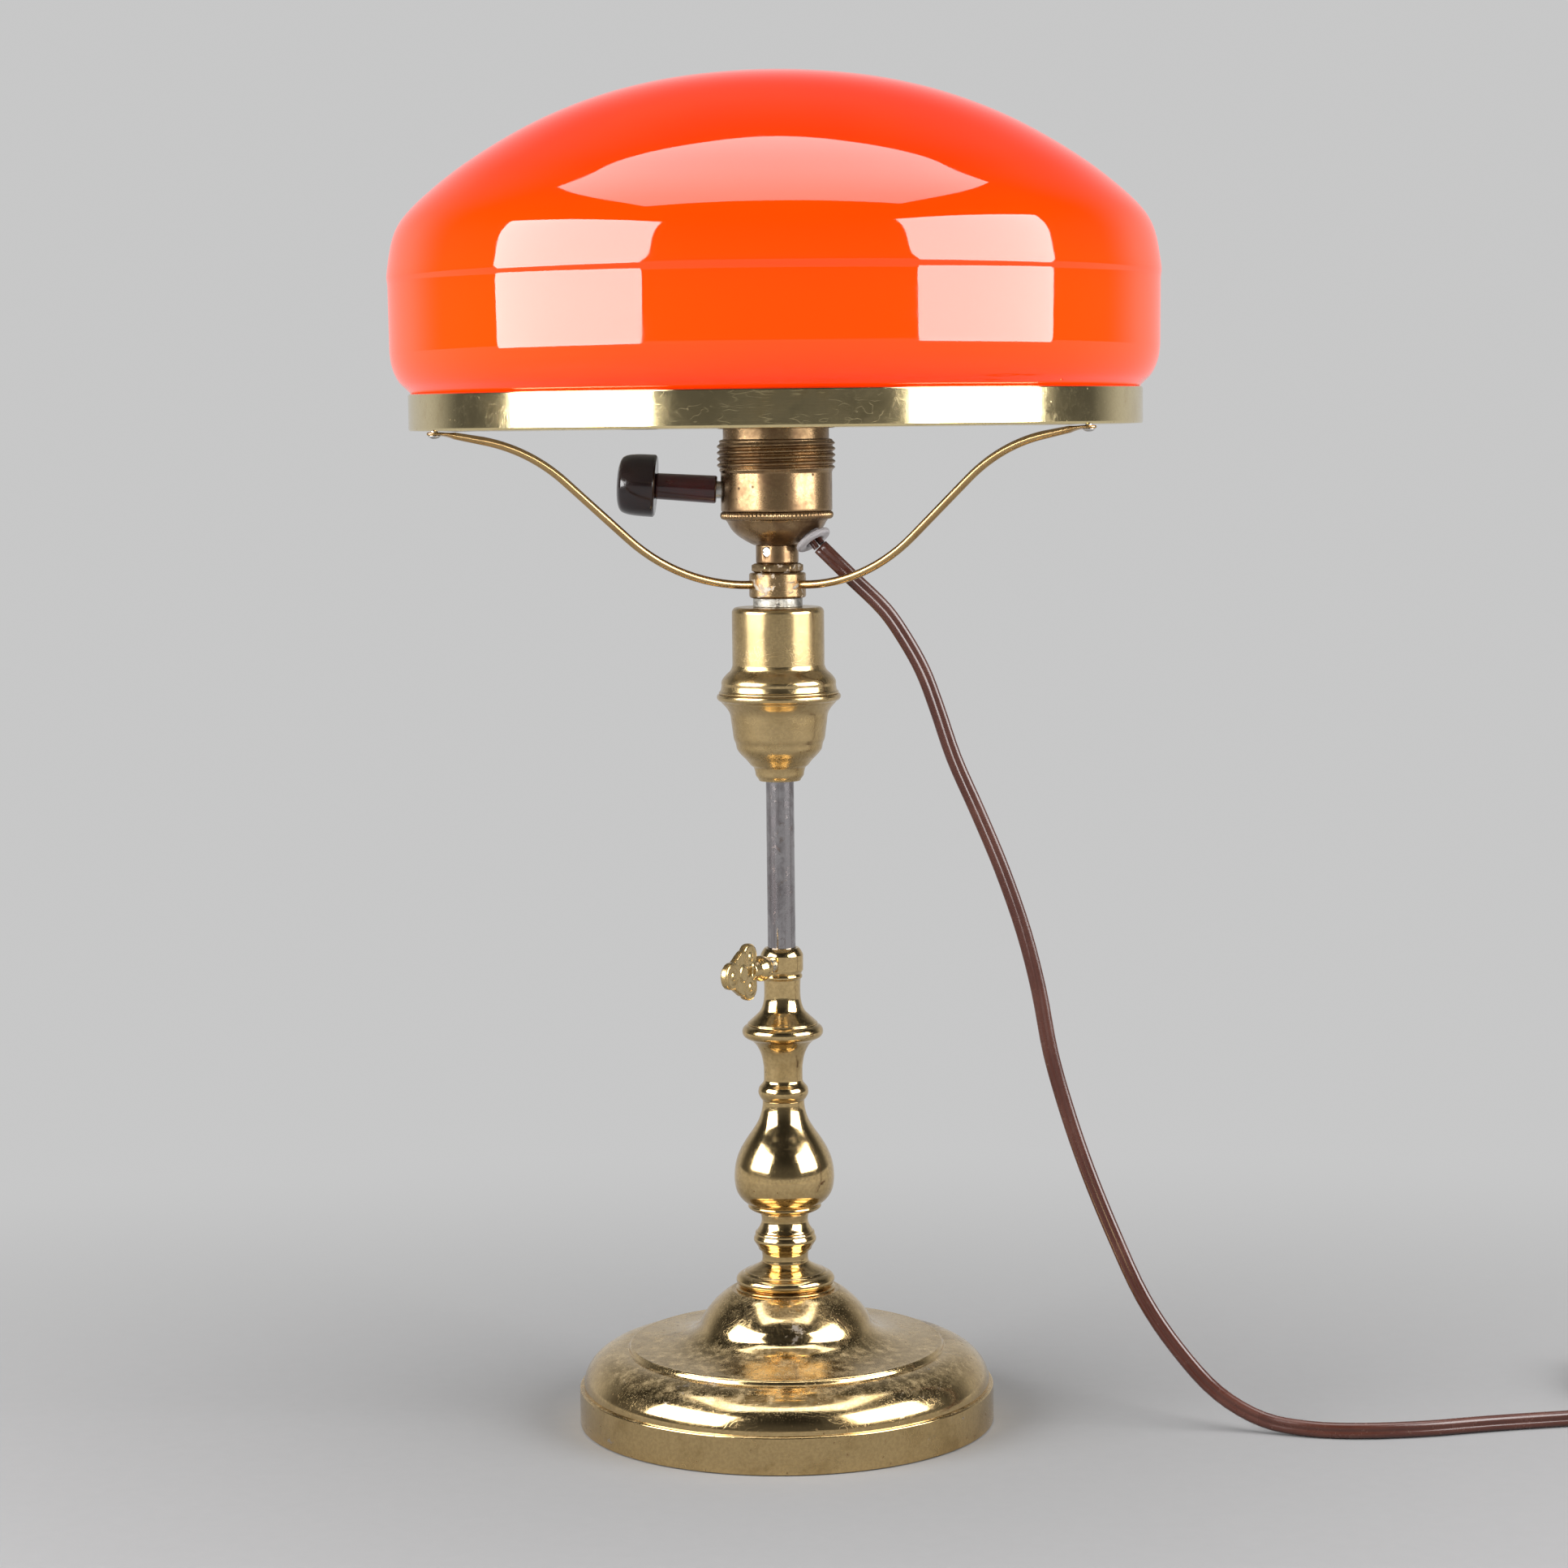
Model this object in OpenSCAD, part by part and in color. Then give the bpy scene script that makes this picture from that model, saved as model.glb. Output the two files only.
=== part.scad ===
// Height-adjustable brass table lamp with a mushroom shade of cased glass.
// Millimetres. Origin at the centre of the foot's underside, +Z up.
// A turned column holds a steel pole in a screw clamp; the pole carries the
// lampholder, a three-armed carrier and its ring, and the glass sits in the ring.

/* [Foot] */
// Outer radius of the foot
foot_r = 71.2; // [60:0.2:90]
// Height of the upright band around the foot
band_h = 12.8; // [8:0.2:16]
// Width of the quarter-round moulding above the band
moulding_w = 15; // [10:0.5:16]
// Height of the quarter-round moulding
moulding_h = 12.5; // [8:0.5:16]
// Radius of the bell in the middle of the foot
bell_r = 30; // [26:0.5:34]
// Height of the top of the bell
foot_h = 45.6; // [42:0.2:56]
// Thickness of the spun brass
foot_wall = 1.4; // [0.8:0.1:2]
// Thickness of the felt disc
felt_t = 1.2; // [0.8:0.1:2]

/* [Column] */
// Outer radius of the guide tube inside the column
tube_r = 5.5; // [5.4:0.05:5.7]
// Radius of the collar on the foot
collar_r = 17; // [14:0.5:20]
// Height of the collar
collar_h = 9.4; // [7.5:0.1:12]
// Radius of the small knop
knop_r = 10.75; // [9.5:0.25:13]
// Height of the small knop with its necks
knop_h = 17; // [14:0.5:21]
// Largest radius of the vase
vase_r = 17.1; // [15:0.1:21]
// Height of the vase
vase_h = 39; // [32:0.5:48]
// Radius of the drip flange
flange_r = 13.85; // [12.5:0.05:17]
// Height of the bead, sleeve and drip flange
baluster_h = 26.4; // [22:0.2:32]
// Radius of the ball of the clamp
clamp_r = 7.7; // [7.3:0.1:9.5]
// Height of the clamp with its trumpet foot
clamp_h = 26.2; // [22:0.2:32]

/* [Clamp key] */
// Direction in which the key points, counted from +X towards +Y
key_azimuth = 240; // [200:5:300]
// Turn of the key plate about its own screw
key_turn = 0; // [-30:5:45]
// Radius of the screw's thread
screw_r = 2.4; // [2:0.1:2.6]
// Radius of the ball on the key
key_ball_r = 4.4; // [3.6:0.1:5.3]
// Radius of each lobe of the key plate
lobe_r = 4.6; // [3.8:0.1:5.5]
// Thickness of the key plate
key_t = 2.4; // [1.8:0.1:3]

/* [Pole and cup] */
// Radius of the steel pole
pole_r = 4.75; // [3.9:0.05:4.8]
// Length of pole in sight at the middle of its travel
pole_seen = 57.2; // [45:0.2:70]
// Travel of the pole up and down from the middle
pole_travel = 55; // [35:1:55]
// Radius of the rolled lip of the lower cup
cup_r = 21; // [17.5:0.5:25.5]
// Height of the lower cup
cup_h = 29.5; // [24:0.5:36]
// Radius of the upper cover
cover_r = 15.6; // [13:0.1:18.8]
// Height of the upper cover
cover_h = 29.4; // [24:0.2:36]
// Thickness of the cup and the cover
cup_wall = 0.9; // [0.6:0.1:1.1]

/* [Shade carrier] */
// Radius of the spacer nut
spacer_r = 8.35; // [7:0.05:9.5]
// Height of the spacer nut
spacer_h = 3.1; // [2:0.1:4]
// Radius of the hub
hub_r = 9.6; // [8:0.1:11.5]
// Height of the hub
hub_h = 8.5; // [7:0.1:10.5]
// Number of arms
arm_count = 3; // [3:1:4]
// Radius of the arms' wire
wire_r = 1.4; // [1.1:0.05:1.7]
// Rise of the arms from the hub to the ring
arm_rise = 52.4; // [44:0.2:63]
// Outer radius of the ring
ring_r = 122.8; // [102:0.2:148]
// Height of the ring
ring_h = 12.5; // [10:0.1:15]
// Thickness of the ring
ring_wall = 1; // [0.8:0.1:1.3]
// Width of the ring's inner ledge
ledge_w = 9; // [7:0.5:11]

/* [Glass shade] */
// How far the glass swells out past the ring
shade_swell = 6; // [4:0.2:8]
// Height of the wall between the ring and the dome
shade_side_h = 35.7; // [29:0.2:43]
// Height of the dome
shade_dome_h = 70.1; // [65:0.1:85]
// Thickness of the glass
glass_t = 3; // [2.4:0.1:3.6]

/* [Lampholder] */
// Radius of the neck under the cap
neck_r = 7.2; // [6.4:0.1:8.4]
// Radius of the milled rim
rim_r = 19.1; // [18.9:0.1:22]
// Radius of the body of the holder
body_r = 18.8; // [18.2:0.1:18.9]
// Height of the plain body
body_h = 13.3; // [12.5:0.1:16]
// Number of turns of the shade-ring thread
thread_turns = 5; // [4:1:6]
// Pitch of the shade-ring thread
thread_pitch = 2.1; // [1.8:0.1:2.4]
// Height of the narrow sleeve above the thread
sleeve_h = 10.5; // [9:0.5:12.5]
// Thickness of the holder's brass
holder_wall = 0.8; // [0.6:0.1:0.9]
// Inner radius of the lamp thread
socket_r = 13.35; // [13.2:0.05:13.5]

/* [Switch] */
// Radius of the switch spindle
spindle_r = 2.9; // [2.3:0.1:3]
// Radius of the knob's stem
stem_r = 4.7; // [3.9:0.1:5.6]
// Length of the knob's stem
stem_l = 20.5; // [17:0.5:25]
// Radius of the knob's cap
knob_r = 10.5; // [8.7:0.1:12.6]
// Length of the knob's cap
knob_l = 13; // [10.5:0.5:15.5]
// Upward tilt of the spindle
switch_tilt = 4; // [0:1:6]

/* [Bulb] */
// Radius of the bulb
bulb_r = 30; // [25:1:36]
// Height of the bulb's glass above its cap
bulb_h = 83; // [70:1:88]

/* [Cord] */
// Width of the flat twin cord
cord_w = 5.4; // [4.5:0.1:6.4]
// Thickness of the flat twin cord
cord_t = 3.2; // [2.7:0.1:3.8]
// Thickness of the band around the coil
tie_t = 0.8; // [0.6:0.1:1]

/* [Plug] */
// Width of the plug
plug_w = 35; // [34:0.5:36]
// Thickness of the plug
plug_t = 13.7; // [13.3:0.1:14]
// Length of the plug
plug_l = 36; // [34:0.5:38]
// Radius of each pin
pin_r = 2; // [1.95:0.05:2.05]
// Length of each pin
pin_l = 19; // [18.5:0.5:19.5]
// Distance between the pins
pin_gap = 18.6; // [17.5:0.1:18.6]

/* [Hidden] */
$fn = 96;
fit = 0.05;                      // sliding and screwed fits, per side
slack = 0.3;                     // clearance around parts that lift or turn
eps = 0.01;                      // overrun of a cut past the face it opens

// Heights of the stack, each from the piece below it.
collar_z = foot_h;
knop_z = collar_z + collar_h;
vase_z = knop_z + knop_h;
baluster_z = vase_z + vase_h;
clamp_z = baluster_z + baluster_h;
clamp_top = clamp_z + clamp_h;
screw_z = clamp_top - 5.3;
cup_z = clamp_top + pole_seen;
cover_z = cup_z + cup_h;
spacer_z = cover_z + cover_h;
hub_z = spacer_z + spacer_h;
nut_z = hub_z + hub_h;
nut_h = 3.1;
neck_z = nut_z + nut_h;
neck_h = 6.2;
cap_z = neck_z + neck_h;
cap_h = 8.6;
rim_z = cap_z + cap_h;
rim_h = 2.8;
body_z = rim_z + rim_h;
thread_z = body_z + body_h;
thread_h = thread_turns * thread_pitch;
sleeve_z = thread_z + thread_h;
sleeve_top = sleeve_z + sleeve_h;

bore_r = pole_r + fit;           // the pole slides in this
tube_top = clamp_z + 5.6;
tube_foot = 2.4;
recess_h = 7.5;                  // room under the weight for the washer and the nut
washer_t = 1.2;
washer_z = felt_t + recess_h - washer_t;
pole_foot = clamp_top - 97.5;
cup_foot_r = pole_r + 2.4;
coupler_r = cup_foot_r - cup_wall - 0.1;
coupler_z = cup_z + 1.5;
coupler_h = 40;
pole_grip = 20;                  // depth of the pole in its coupler
pole_top = coupler_z + pole_grip;
nipple_r = 4.9;
nipple_top = cap_z + 4;

arm_z = hub_z + hub_h / 2 + 0.3;
arm_azimuths = [for (i = [0 : arm_count - 1]) 205 + i * 360 / arm_count];
ring_z = arm_z + arm_rise;
ledge_t = 1.2;
tab_t = 1.2;
tab_l = 9;

rim_glass_r = ring_r - ring_wall - slack - 0.3;
shade_r = ring_r + shade_swell;
shade_z = ring_z + ledge_t;      // the glass stands on the ledge
shade_wall_z = ring_z + ring_h + 13.7;
dome_z = shade_wall_z + shade_side_h - 13.7;

insert_h = 15.6;
insert_r = body_r - holder_wall - 0.4;
insert_top = rim_z + insert_h;
contact_z = insert_top + 2.4;
bulb_cap_r = socket_r - 0.45;
bulb_cap_h = 22;

switch_z = body_z + 5.9;         // where the spindle's line meets the lamp's axis
stem_a = 20.2;                   // distances along the spindle from that point
knob_a = stem_a + stem_l;

gland_azimuth = -30;
gland_r = 6.3;
gland_slope = 36;                // slope of the cap where the gland sits
gland_at = 13;
gland_z = cap_z + 3.1;
gland_out = [sin(gland_slope) * cos(gland_azimuth), sin(gland_slope) * sin(gland_azimuth),
    -cos(gland_slope)];
gland_point = [gland_at * cos(gland_azimuth), gland_at * sin(gland_azimuth), gland_z];

// ---- outlines ----

// One point of a smooth curve through p1 and p2, with p0 and p3 as neighbours.
function between(p0, p1, p2, p3, t) =
    0.5 * (2 * p1 + (p2 - p0) * t + (2 * p0 - 5 * p1 + 4 * p2 - p3) * t * t
        + (3 * p1 - p0 - 3 * p2 + p3) * t * t * t);

// A smooth curve through all the points, with n steps from each to the next.
function flow(p, n = 3) = let (m = len(p) - 1) concat(
    [for (i = [0 : m - 1], k = [0 : n - 1])
        between(p[max(i - 1, 0)], p[i], p[i + 1], p[min(i + 2, m)], k / n)],
    [p[m]]);

// An arc of an ellipse from angle a to angle b.
function arc(c, rx, ry, a, b, n = 8) =
    [for (k = [0 : n]) let (t = a + (b - a) * k / n) c + [rx * cos(t), ry * sin(t)]];

// An outline given as shares of a radius and a height, raised to z.
function sized(p, r, h, z) = [for (q = p) [q[0] * r, z + q[1] * h]];

// A turned piece with a straight bore from its lowest to its highest point.
module turned(outline, bore) {
    last = len(outline) - 1;
    rotate_extrude()
        polygon(concat([[bore, outline[0][1]]], outline, [[bore, outline[last][1]]]));
}

// A spun shell: the outline and the same outline drawn in by the wall.
module spun(outer, inner) {
    rotate_extrude()
        polygon(concat(outer, [for (i = [len(inner) - 1 : -1 : 0]) inner[i]]));
}

module ring(r, bore, z, h) {
    translate([0, 0, z]) difference() {
        cylinder(r = r, h = h);
        translate([0, 0, -eps]) cylinder(r = bore, h = h + 2 * eps);
    }
}

// Direction of a line of points at its point i.
function heading(p, i) = let (d = p[min(i + 1, len(p) - 1)] - p[max(i - 1, 0)]) d / norm(d);

// A rod of radius r between two points.
module rod(p, q, r) {
    d = q - p;
    translate(p) rotate([0, acos(d[2] / norm(d)), atan2(d[1], d[0])])
        cylinder(r = r, h = norm(d), $fn = 32);
}

// ---- foot ----

step_r = foot_r - moulding_w - 2.6;
step_z = band_h + moulding_h;
function foot_outline() = concat(
    [[foot_r, 0]],
    arc([foot_r - 0.6, band_h - 0.6], 0.6, 0.6, 0, 90, 3),
    [[foot_r - 1.2, band_h]],
    arc([foot_r - 1.4 - moulding_w, band_h], moulding_w, moulding_h, 0, 88, 14),
    [[step_r + 0.7, step_z], [step_r + 0.4, step_z + 1.1]],
    arc([step_r - 0.5, step_z + 1.1], 0.7, 0.7, 20, 90, 3),
    flow([[step_r - 1.2, step_z + 1.8], [bell_r + 13, step_z + 2.5],
        [bell_r + 6.5, step_z + 3.6], [bell_r + 2.4, step_z + 5.3],
        [bell_r - 0.3, step_z + 7.8], [bell_r - 1.7, foot_h - 9.4],
        [bell_r - 4.7, foot_h - 5.4], [bell_r - 8.6, foot_h - 1.8],
        [bell_r - 11.4, foot_h]]));

module foot_shell() color("goldenrod") {
    outer = foot_outline();
    inner = [for (p = outer) [p[0] - foot_wall, max(p[1] - foot_wall, 0)]];
    spun(concat(outer, [[tube_r + fit, foot_h]]),
        concat(inner, [[tube_r + fit, foot_h - foot_wall]]));
}

module foot_weight() color("dimgray") difference() {
    turned([[foot_r - foot_wall - 2, felt_t], [foot_r - foot_wall - 2, band_h - 2],
        [step_r - 2, step_z - 5], [bell_r - 8, step_z - 2], [12, step_z],
        [12, foot_h - foot_wall]], tube_r + fit);
    translate([0, 0, felt_t - eps]) cylinder(r = 15, h = recess_h + eps);
}

module foot_felt() color("darkgreen") cylinder(r = foot_r - foot_wall - 1, h = felt_t);

module foot_washer() color("silver") ring(13, tube_r + fit, washer_z, washer_t);

module foot_nut() color("silver") difference() {
    translate([0, 0, washer_z - 4]) cylinder(r = 9.8, h = 4, $fn = 6);
    translate([0, 0, washer_z - 5]) cylinder(r = tube_r + fit, h = 6);
}

// ---- column ----

module guide_tube() color("darkkhaki")
    ring(tube_r, bore_r, tube_foot, tube_top - tube_foot);

module column_collar() color("goldenrod")
    turned(concat(
        sized([[0.97, 0], [1.005, 0.045], [0.97, 0.09]], collar_r, collar_h, collar_z),
        sized(arc([0.82, 0.34], 0.175, 0.25, -75, 80, 12), collar_r, collar_h, collar_z),
        sized([[0.83, 0.62], [0.815, 0.66], [0.77, 0.68]], collar_r, collar_h, collar_z),
        flow([[collar_r * 0.75, knop_z - collar_h * 0.3], [11.2, knop_z - 2],
            [9.3, knop_z - 1], [8.1, knop_z]])), tube_r + fit);

module column_knop() color("goldenrod")
    turned(concat(
        flow([[8.1, knop_z], [7.85, knop_z + 1.6], [8.1, knop_z + 3.4],
            [knop_r - 2.1, knop_z + 4.3]]),
        sized([[0.845, 0.255], [0.86, 0.3], [0.88, 0.315]], knop_r, knop_h, knop_z),
        flow(sized([[0.93, 0.37], [0.985, 0.42], [1, 0.465], [0.985, 0.51],
            [0.95, 0.555]], knop_r, knop_h, knop_z)),
        sized([[0.955, 0.59], [0.93, 0.62], [0.9, 0.625]], knop_r, knop_h, knop_z),
        flow(sized([[0.87, 0.66], [0.79, 0.74], [0.745, 0.83], [0.745, 0.9],
            [0.78, 1]], knop_r, knop_h, knop_z))), tube_r + fit);

module column_vase() color("goldenrod")
    turned(concat(
        flow(sized([[0.49, 0], [0.56, 0.012], [0.66, 0.028], [0.715, 0.045]],
            vase_r, vase_h, vase_z)),
        sized([[0.735, 0.055], [0.735, 0.068], [0.72, 0.075]], vase_r, vase_h, vase_z),
        flow(sized([[0.74, 0.085], [0.86, 0.13], [0.955, 0.195], [0.995, 0.275],
            [1, 0.355], [0.965, 0.46], [0.88, 0.56], [0.755, 0.655], [0.62, 0.74],
            [0.51, 0.82], [0.445, 0.9], [0.42, 0.965], [0.42, 1]],
            vase_r, vase_h, vase_z), 4)), tube_r + fit);

module column_baluster() color("goldenrod")
    turned(concat(
        flow(sized([[0.52, 0], [0.575, 0.04], [0.615, 0.085], [0.62, 0.125],
            [0.595, 0.175], [0.53, 0.215], [0.495, 0.24]],
            flange_r, baluster_h, baluster_z)),
        flow(sized([[0.48, 0.265], [0.48, 0.42], [0.495, 0.49], [0.525, 0.575],
            [0.575, 0.65], [0.66, 0.73], [0.785, 0.795]],
            flange_r, baluster_h, baluster_z)),
        flow(sized([[0.82, 0.8], [0.93, 0.83], [0.985, 0.865], [1, 0.905],
            [0.98, 0.945], [0.93, 0.975], [0.88, 0.99], [0.87, 1]],
            flange_r, baluster_h, baluster_z))), tube_r + fit);

module along_key() rotate([0, 0, key_azimuth]) translate([0, 0, screw_z])
    rotate([0, 90, 0]) children();

module clamp_head() color("goldenrod") difference() {
    turned(concat(
        sized([[1.55, 0], [1.55, 0.018], [1.49, 0.03]], clamp_r, clamp_h, clamp_z),
        flow(sized([[1.46, 0.04], [1.2, 0.11], [1.0, 0.17], [0.905, 0.225],
            [0.845, 0.29], [0.81, 0.37], [0.805, 0.5], [0.825, 0.59]],
            clamp_r, clamp_h, clamp_z)),
        sized([[0.885, 0.605], [0.905, 0.625], [0.885, 0.65], [0.845, 0.66]],
            clamp_r, clamp_h, clamp_z),
        flow(sized([[0.86, 0.665], [0.94, 0.71], [0.99, 0.765], [1, 0.81],
            [0.985, 0.865], [0.93, 0.92], [0.85, 0.965], [0.755, 1]],
            clamp_r, clamp_h, clamp_z), 4)), bore_r);
    translate([0, 0, clamp_z - eps])
        cylinder(r = tube_r + fit, h = tube_top - clamp_z + eps);
    along_key() translate([0, 0, pole_r]) cylinder(r = screw_r + fit, h = clamp_r);
    along_key() translate([0, 0, clamp_r - 0.6]) cylinder(r = screw_r + 0.7, h = 2);
}

pad_t = 1;
pad_a = pole_r + fit + 0.02;
module clamp_pad() color("goldenrod") along_key()
    translate([0, 0, pad_a]) cylinder(r = screw_r - 0.3, h = pad_t);

// ---- clamp key ----

ball_a = clamp_r + 6.8;
screw_a = pad_a + pad_t + 0.03;
plate_a = ball_a + key_ball_r - 0.4;
lobe_side = lobe_r * 1.1;
lobe_a = plate_a + lobe_r;
lobe_tip = lobe_a + 11.2;
module clamp_screw() color("silver") along_key() {
    translate([0, 0, screw_a]) cylinder(r = screw_r, h = ball_a - screw_a);
    for (i = [0 : 3]) translate([0, 0, clamp_r + 0.6 + i * 0.6])
        cylinder(r = screw_r + 0.12, h = 0.25);
}

// Round lobes at the plate's two sides and its outer end, filled between.
module key_plate() {
    half = concat([[plate_a + 0.3, 3]], [for (q = [[0, 3], [5, 2.6]])
        [lobe_a + q[0], lobe_side + q[1]]], [[lobe_tip, 3.9]]);
    for (s = [-1, 1]) translate([lobe_a, s * lobe_side]) circle(r = lobe_r);
    translate([lobe_tip, 0]) circle(r = lobe_r);
    polygon(concat(half, [for (i = [len(half) - 1 : -1 : 0]) [half[i][0], -half[i][1]]]));
}

module thumb_key() color("gold") {
    along_key() difference() {
        union() {
            translate([0, 0, ball_a]) sphere(r = key_ball_r);
            translate([0, 0, ball_a + 3]) cylinder(r = 3, h = key_ball_r);
        }
        translate([0, 0, ball_a - key_ball_r - 1])
            cylinder(r = screw_r + fit, h = key_ball_r + 1.2);
    }
    along_key() rotate([0, 0, 90 - key_turn]) rotate([0, -90, 0]) {
        translate([0, 0, -key_t / 2]) linear_extrude(height = key_t) difference() {
            key_plate();
            translate([ball_a, 0]) circle(r = key_ball_r - 0.4);
        }
        for (s = [-1, 1], p = [[lobe_a, lobe_side], [lobe_a, -lobe_side],
                [lobe_tip, 0]])
            translate([p[0], p[1], s * key_t / 2]) {
                ring(lobe_r - 0.7, lobe_r - 1.7, -0.2, 0.7);
                cylinder(r = 1.2, h = 1, center = true);
            }
        translate([lobe_a + 4.6, 0, 0]) cylinder(r = 2.6, h = key_t + 1, center = true);
    }
}

// ---- pole and cup ----

module pole() color("gray") ring(pole_r, 3.4, pole_foot, pole_top - pole_foot);

// The cup's foot fits the pole, and its outline swells from there to the lip.
function swollen(p) = [for (q = p) [cup_foot_r + q[0] * (cup_r - cup_foot_r), cup_z + q[1] * cup_h]];
function cup_outline() = concat(
    flow(swollen([[-0.01, 0], [0.01, 0.02], [0.07, 0.06], [0.09, 0.11], [0.12, 0.155]])),
    flow(swollen([[0.19, 0.18], [0.29, 0.24], [0.42, 0.3], [0.52, 0.365], [0.55, 0.43],
        [0.6, 0.49], [0.625, 0.58], [0.655, 0.68], [0.68, 0.765], [0.735, 0.82],
        [0.81, 0.865], [0.88, 0.9]])));

module lower_cup() color("goldenrod") {
    outer = cup_outline();
    inner = [for (p = outer) [p[0] - cup_wall, p[1] + (p[1] > cup_z + 3 ? 0 : cup_wall)]];
    spun(concat([[bore_r, cup_z]], outer,
            swollen([[0.9, 0.915], [0.95, 0.925], [1, 0.95], [1, 0.98], [0.98, 1], [0.85, 1]])),
        concat([[bore_r, cup_z + cup_wall]], inner));
}

module upper_cover() color("goldenrod") {
    r = cover_r;
    outer = concat(
        [[cup_r - 0.7, cover_z], [cup_r - 0.7, cover_z + 0.8], [cup_r - 1.1, cover_z + 1]],
        flow([[cup_r - 1.3, cover_z + 1.4], [cup_r - 1.6, cover_z + 2.8],
            [cup_r - 1.6, cover_z + 4.2], [cup_r - 2.3, cover_z + 5.6],
            [r + 2, cover_z + 6.8], [r + 0.6, cover_z + 8.2], [r, cover_z + 9.8]]),
        [[r, spacer_z - 1.8]], arc([r - 1.8, spacer_z - 1.8], 1.8, 1.8, 10, 90, 5));
    inner = [for (p = outer) [p[0] - cup_wall, min(p[1], spacer_z - cup_wall)]];
    spun(concat(outer, [[nipple_r + fit, spacer_z]]),
        concat(inner, [[nipple_r + fit, spacer_z - cup_wall]]));
}

module pole_coupler() color("darkkhaki") difference() {
    translate([0, 0, coupler_z]) cylinder(r = coupler_r, h = coupler_h);
    translate([0, 0, coupler_z - eps]) cylinder(r = bore_r, h = pole_grip + eps);
    translate([0, 0, coupler_z]) cylinder(r = nipple_r + fit, h = coupler_h + eps);
}

module threaded_nipple() color("silver")
    ring(nipple_r, 3.6, pole_top + 1, nipple_top - pole_top - 1);

// ---- shade carrier ----

module spacer_nut() color("silver") ring(spacer_r, nipple_r + fit, spacer_z, spacer_h);

module carrier_hub() color("peru") difference() {
    turned([[hub_r - 0.5, hub_z], [hub_r, hub_z + 0.5], [hub_r, nut_z - 0.5],
        [hub_r - 0.5, nut_z]], nipple_r + fit);
    for (a = arm_azimuths) rotate([0, 0, a]) translate([7, 0, arm_z])
        rotate([0, 90, 0]) cylinder(r = wire_r + 0.02, h = 5);
}

// A wire in the XZ plane, straight between its corners and bent to a radius there.
function turn_at(p, q, s) = let (a = q - p, b = s - q)
    atan2(a[0] * b[1] - a[1] * b[0], a * b);
function bend_points(p, q, s, r, n = 7) = let (t = turn_at(p, q, s), side = sign(t),
    d = (q - p) / norm(q - p), start = q - d * r * tan(abs(t) / 2), up = side * [-d[1], d[0]])
    [for (k = [0 : n]) let (a = abs(t) * k / n)
        start + r * (sin(a) * d + (1 - cos(a)) * up)];
function wire_line(p, bend) = concat([p[0]],
    [for (i = [1 : len(p) - 2]) each bend_points(p[i - 1], p[i], p[i + 1], bend[i])],
    [p[len(p) - 1]]);

module bent_wire(p, bend, r) {
    line = wire_line(p, bend);
    sides = 12;
    m = len(line) - 1;
    rings = [for (i = [0 : m]) let (t = heading(line, i)) for (k = [0 : sides - 1])
        let (a = k * 360 / sides)
        [line[i][0] - r * cos(a) * t[1], -r * sin(a), line[i][1] + r * cos(a) * t[0]]];
    polyhedron(points = rings, faces = concat(
        [[for (k = [0 : sides - 1]) k]],
        [for (i = [0 : m - 1], k = [0 : sides - 1]) let (a = i * sides, n = (k + 1) % sides)
            [a + n, a + k, a + sides + k, a + sides + n]],
        [[for (k = [sides - 1 : -1 : 0]) m * sides + k]]));
}

// The arm leaves the hub level, climbs at a slant and flattens out under the ring.
arm_end = ring_r - 6;
arm_line = [[7, arm_z], [ring_r * 0.288, arm_z], [ring_r * 0.722, ring_z - 6.1],
    [arm_end, ring_z - tab_t - 0.45]];
arm_climb = turn_at(arm_line[0], arm_line[1], arm_line[2]);
// The first bend starts clear of the hub.
arm_bend = [0, min(ring_r * 0.55, (arm_line[1][0] - hub_r - 0.5) / tan(arm_climb / 2)),
    ring_r * 0.49, 0];

module arm(a) rotate([0, 0, a]) difference() {
    union() {
        bent_wire(arm_line, arm_bend, wire_r);
        translate([arm_end - 2, -2.6, ring_z - tab_t]) cube([tab_l - 2.5, 5.2, tab_t]);
        translate([arm_end + tab_l - 4.5, 0, ring_z - tab_t]) cylinder(r = 2.6, h = tab_t);
    }
    translate([arm_end - tab_l, -5, ring_z]) cube([2 * tab_l, 10, 3]);
    translate([arm_end + tab_l - 4.5, 0, ring_z - tab_t - 1]) cylinder(r = 1.2, h = 3);
}
module carrier_arm_left() color("peru") arm(arm_azimuths[0]);
module carrier_arm_right() color("peru") arm(arm_azimuths[1]);
module carrier_arm_back() color("peru") for (i = [2 : arm_count - 1]) arm(arm_azimuths[i]);

module arm_rivets() color("silver") for (a = arm_azimuths) rotate([0, 0, a])
    translate([arm_end + tab_l - 4.5, 0, ring_z - tab_t - 1]) {
        cylinder(r = 2, h = 1);
        cylinder(r = 1.15, h = tab_t + ledge_t + 1);
    }

module gallery_ring() color("gold") difference() {
    turned(concat(
        [[ring_r - 1.2, ring_z]],
        arc([ring_r - 1.1, ring_z + 1.1], 1.1, 1.1, -60, 0, 4),
        [[ring_r, ring_z + ring_h - 0.5], [ring_r - 0.4, ring_z + ring_h],
            [ring_r - ring_wall, ring_z + ring_h], [ring_r - ring_wall, shade_z]]),
        ring_r - ledge_w);
    for (a = arm_azimuths) rotate([0, 0, a])
        translate([arm_end + tab_l - 4.5, 0, ring_z - 1]) cylinder(r = 1.2, h = 4);
}

module lock_nut() color("darkgoldenrod") difference() {
    translate([0, 0, nut_z]) cylinder(r = 8.7, h = nut_h, $fn = 6);
    translate([0, 0, nut_z - 1]) cylinder(r = nipple_r + fit, h = nut_h + 2);
}

// ---- lampholder ----

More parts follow.
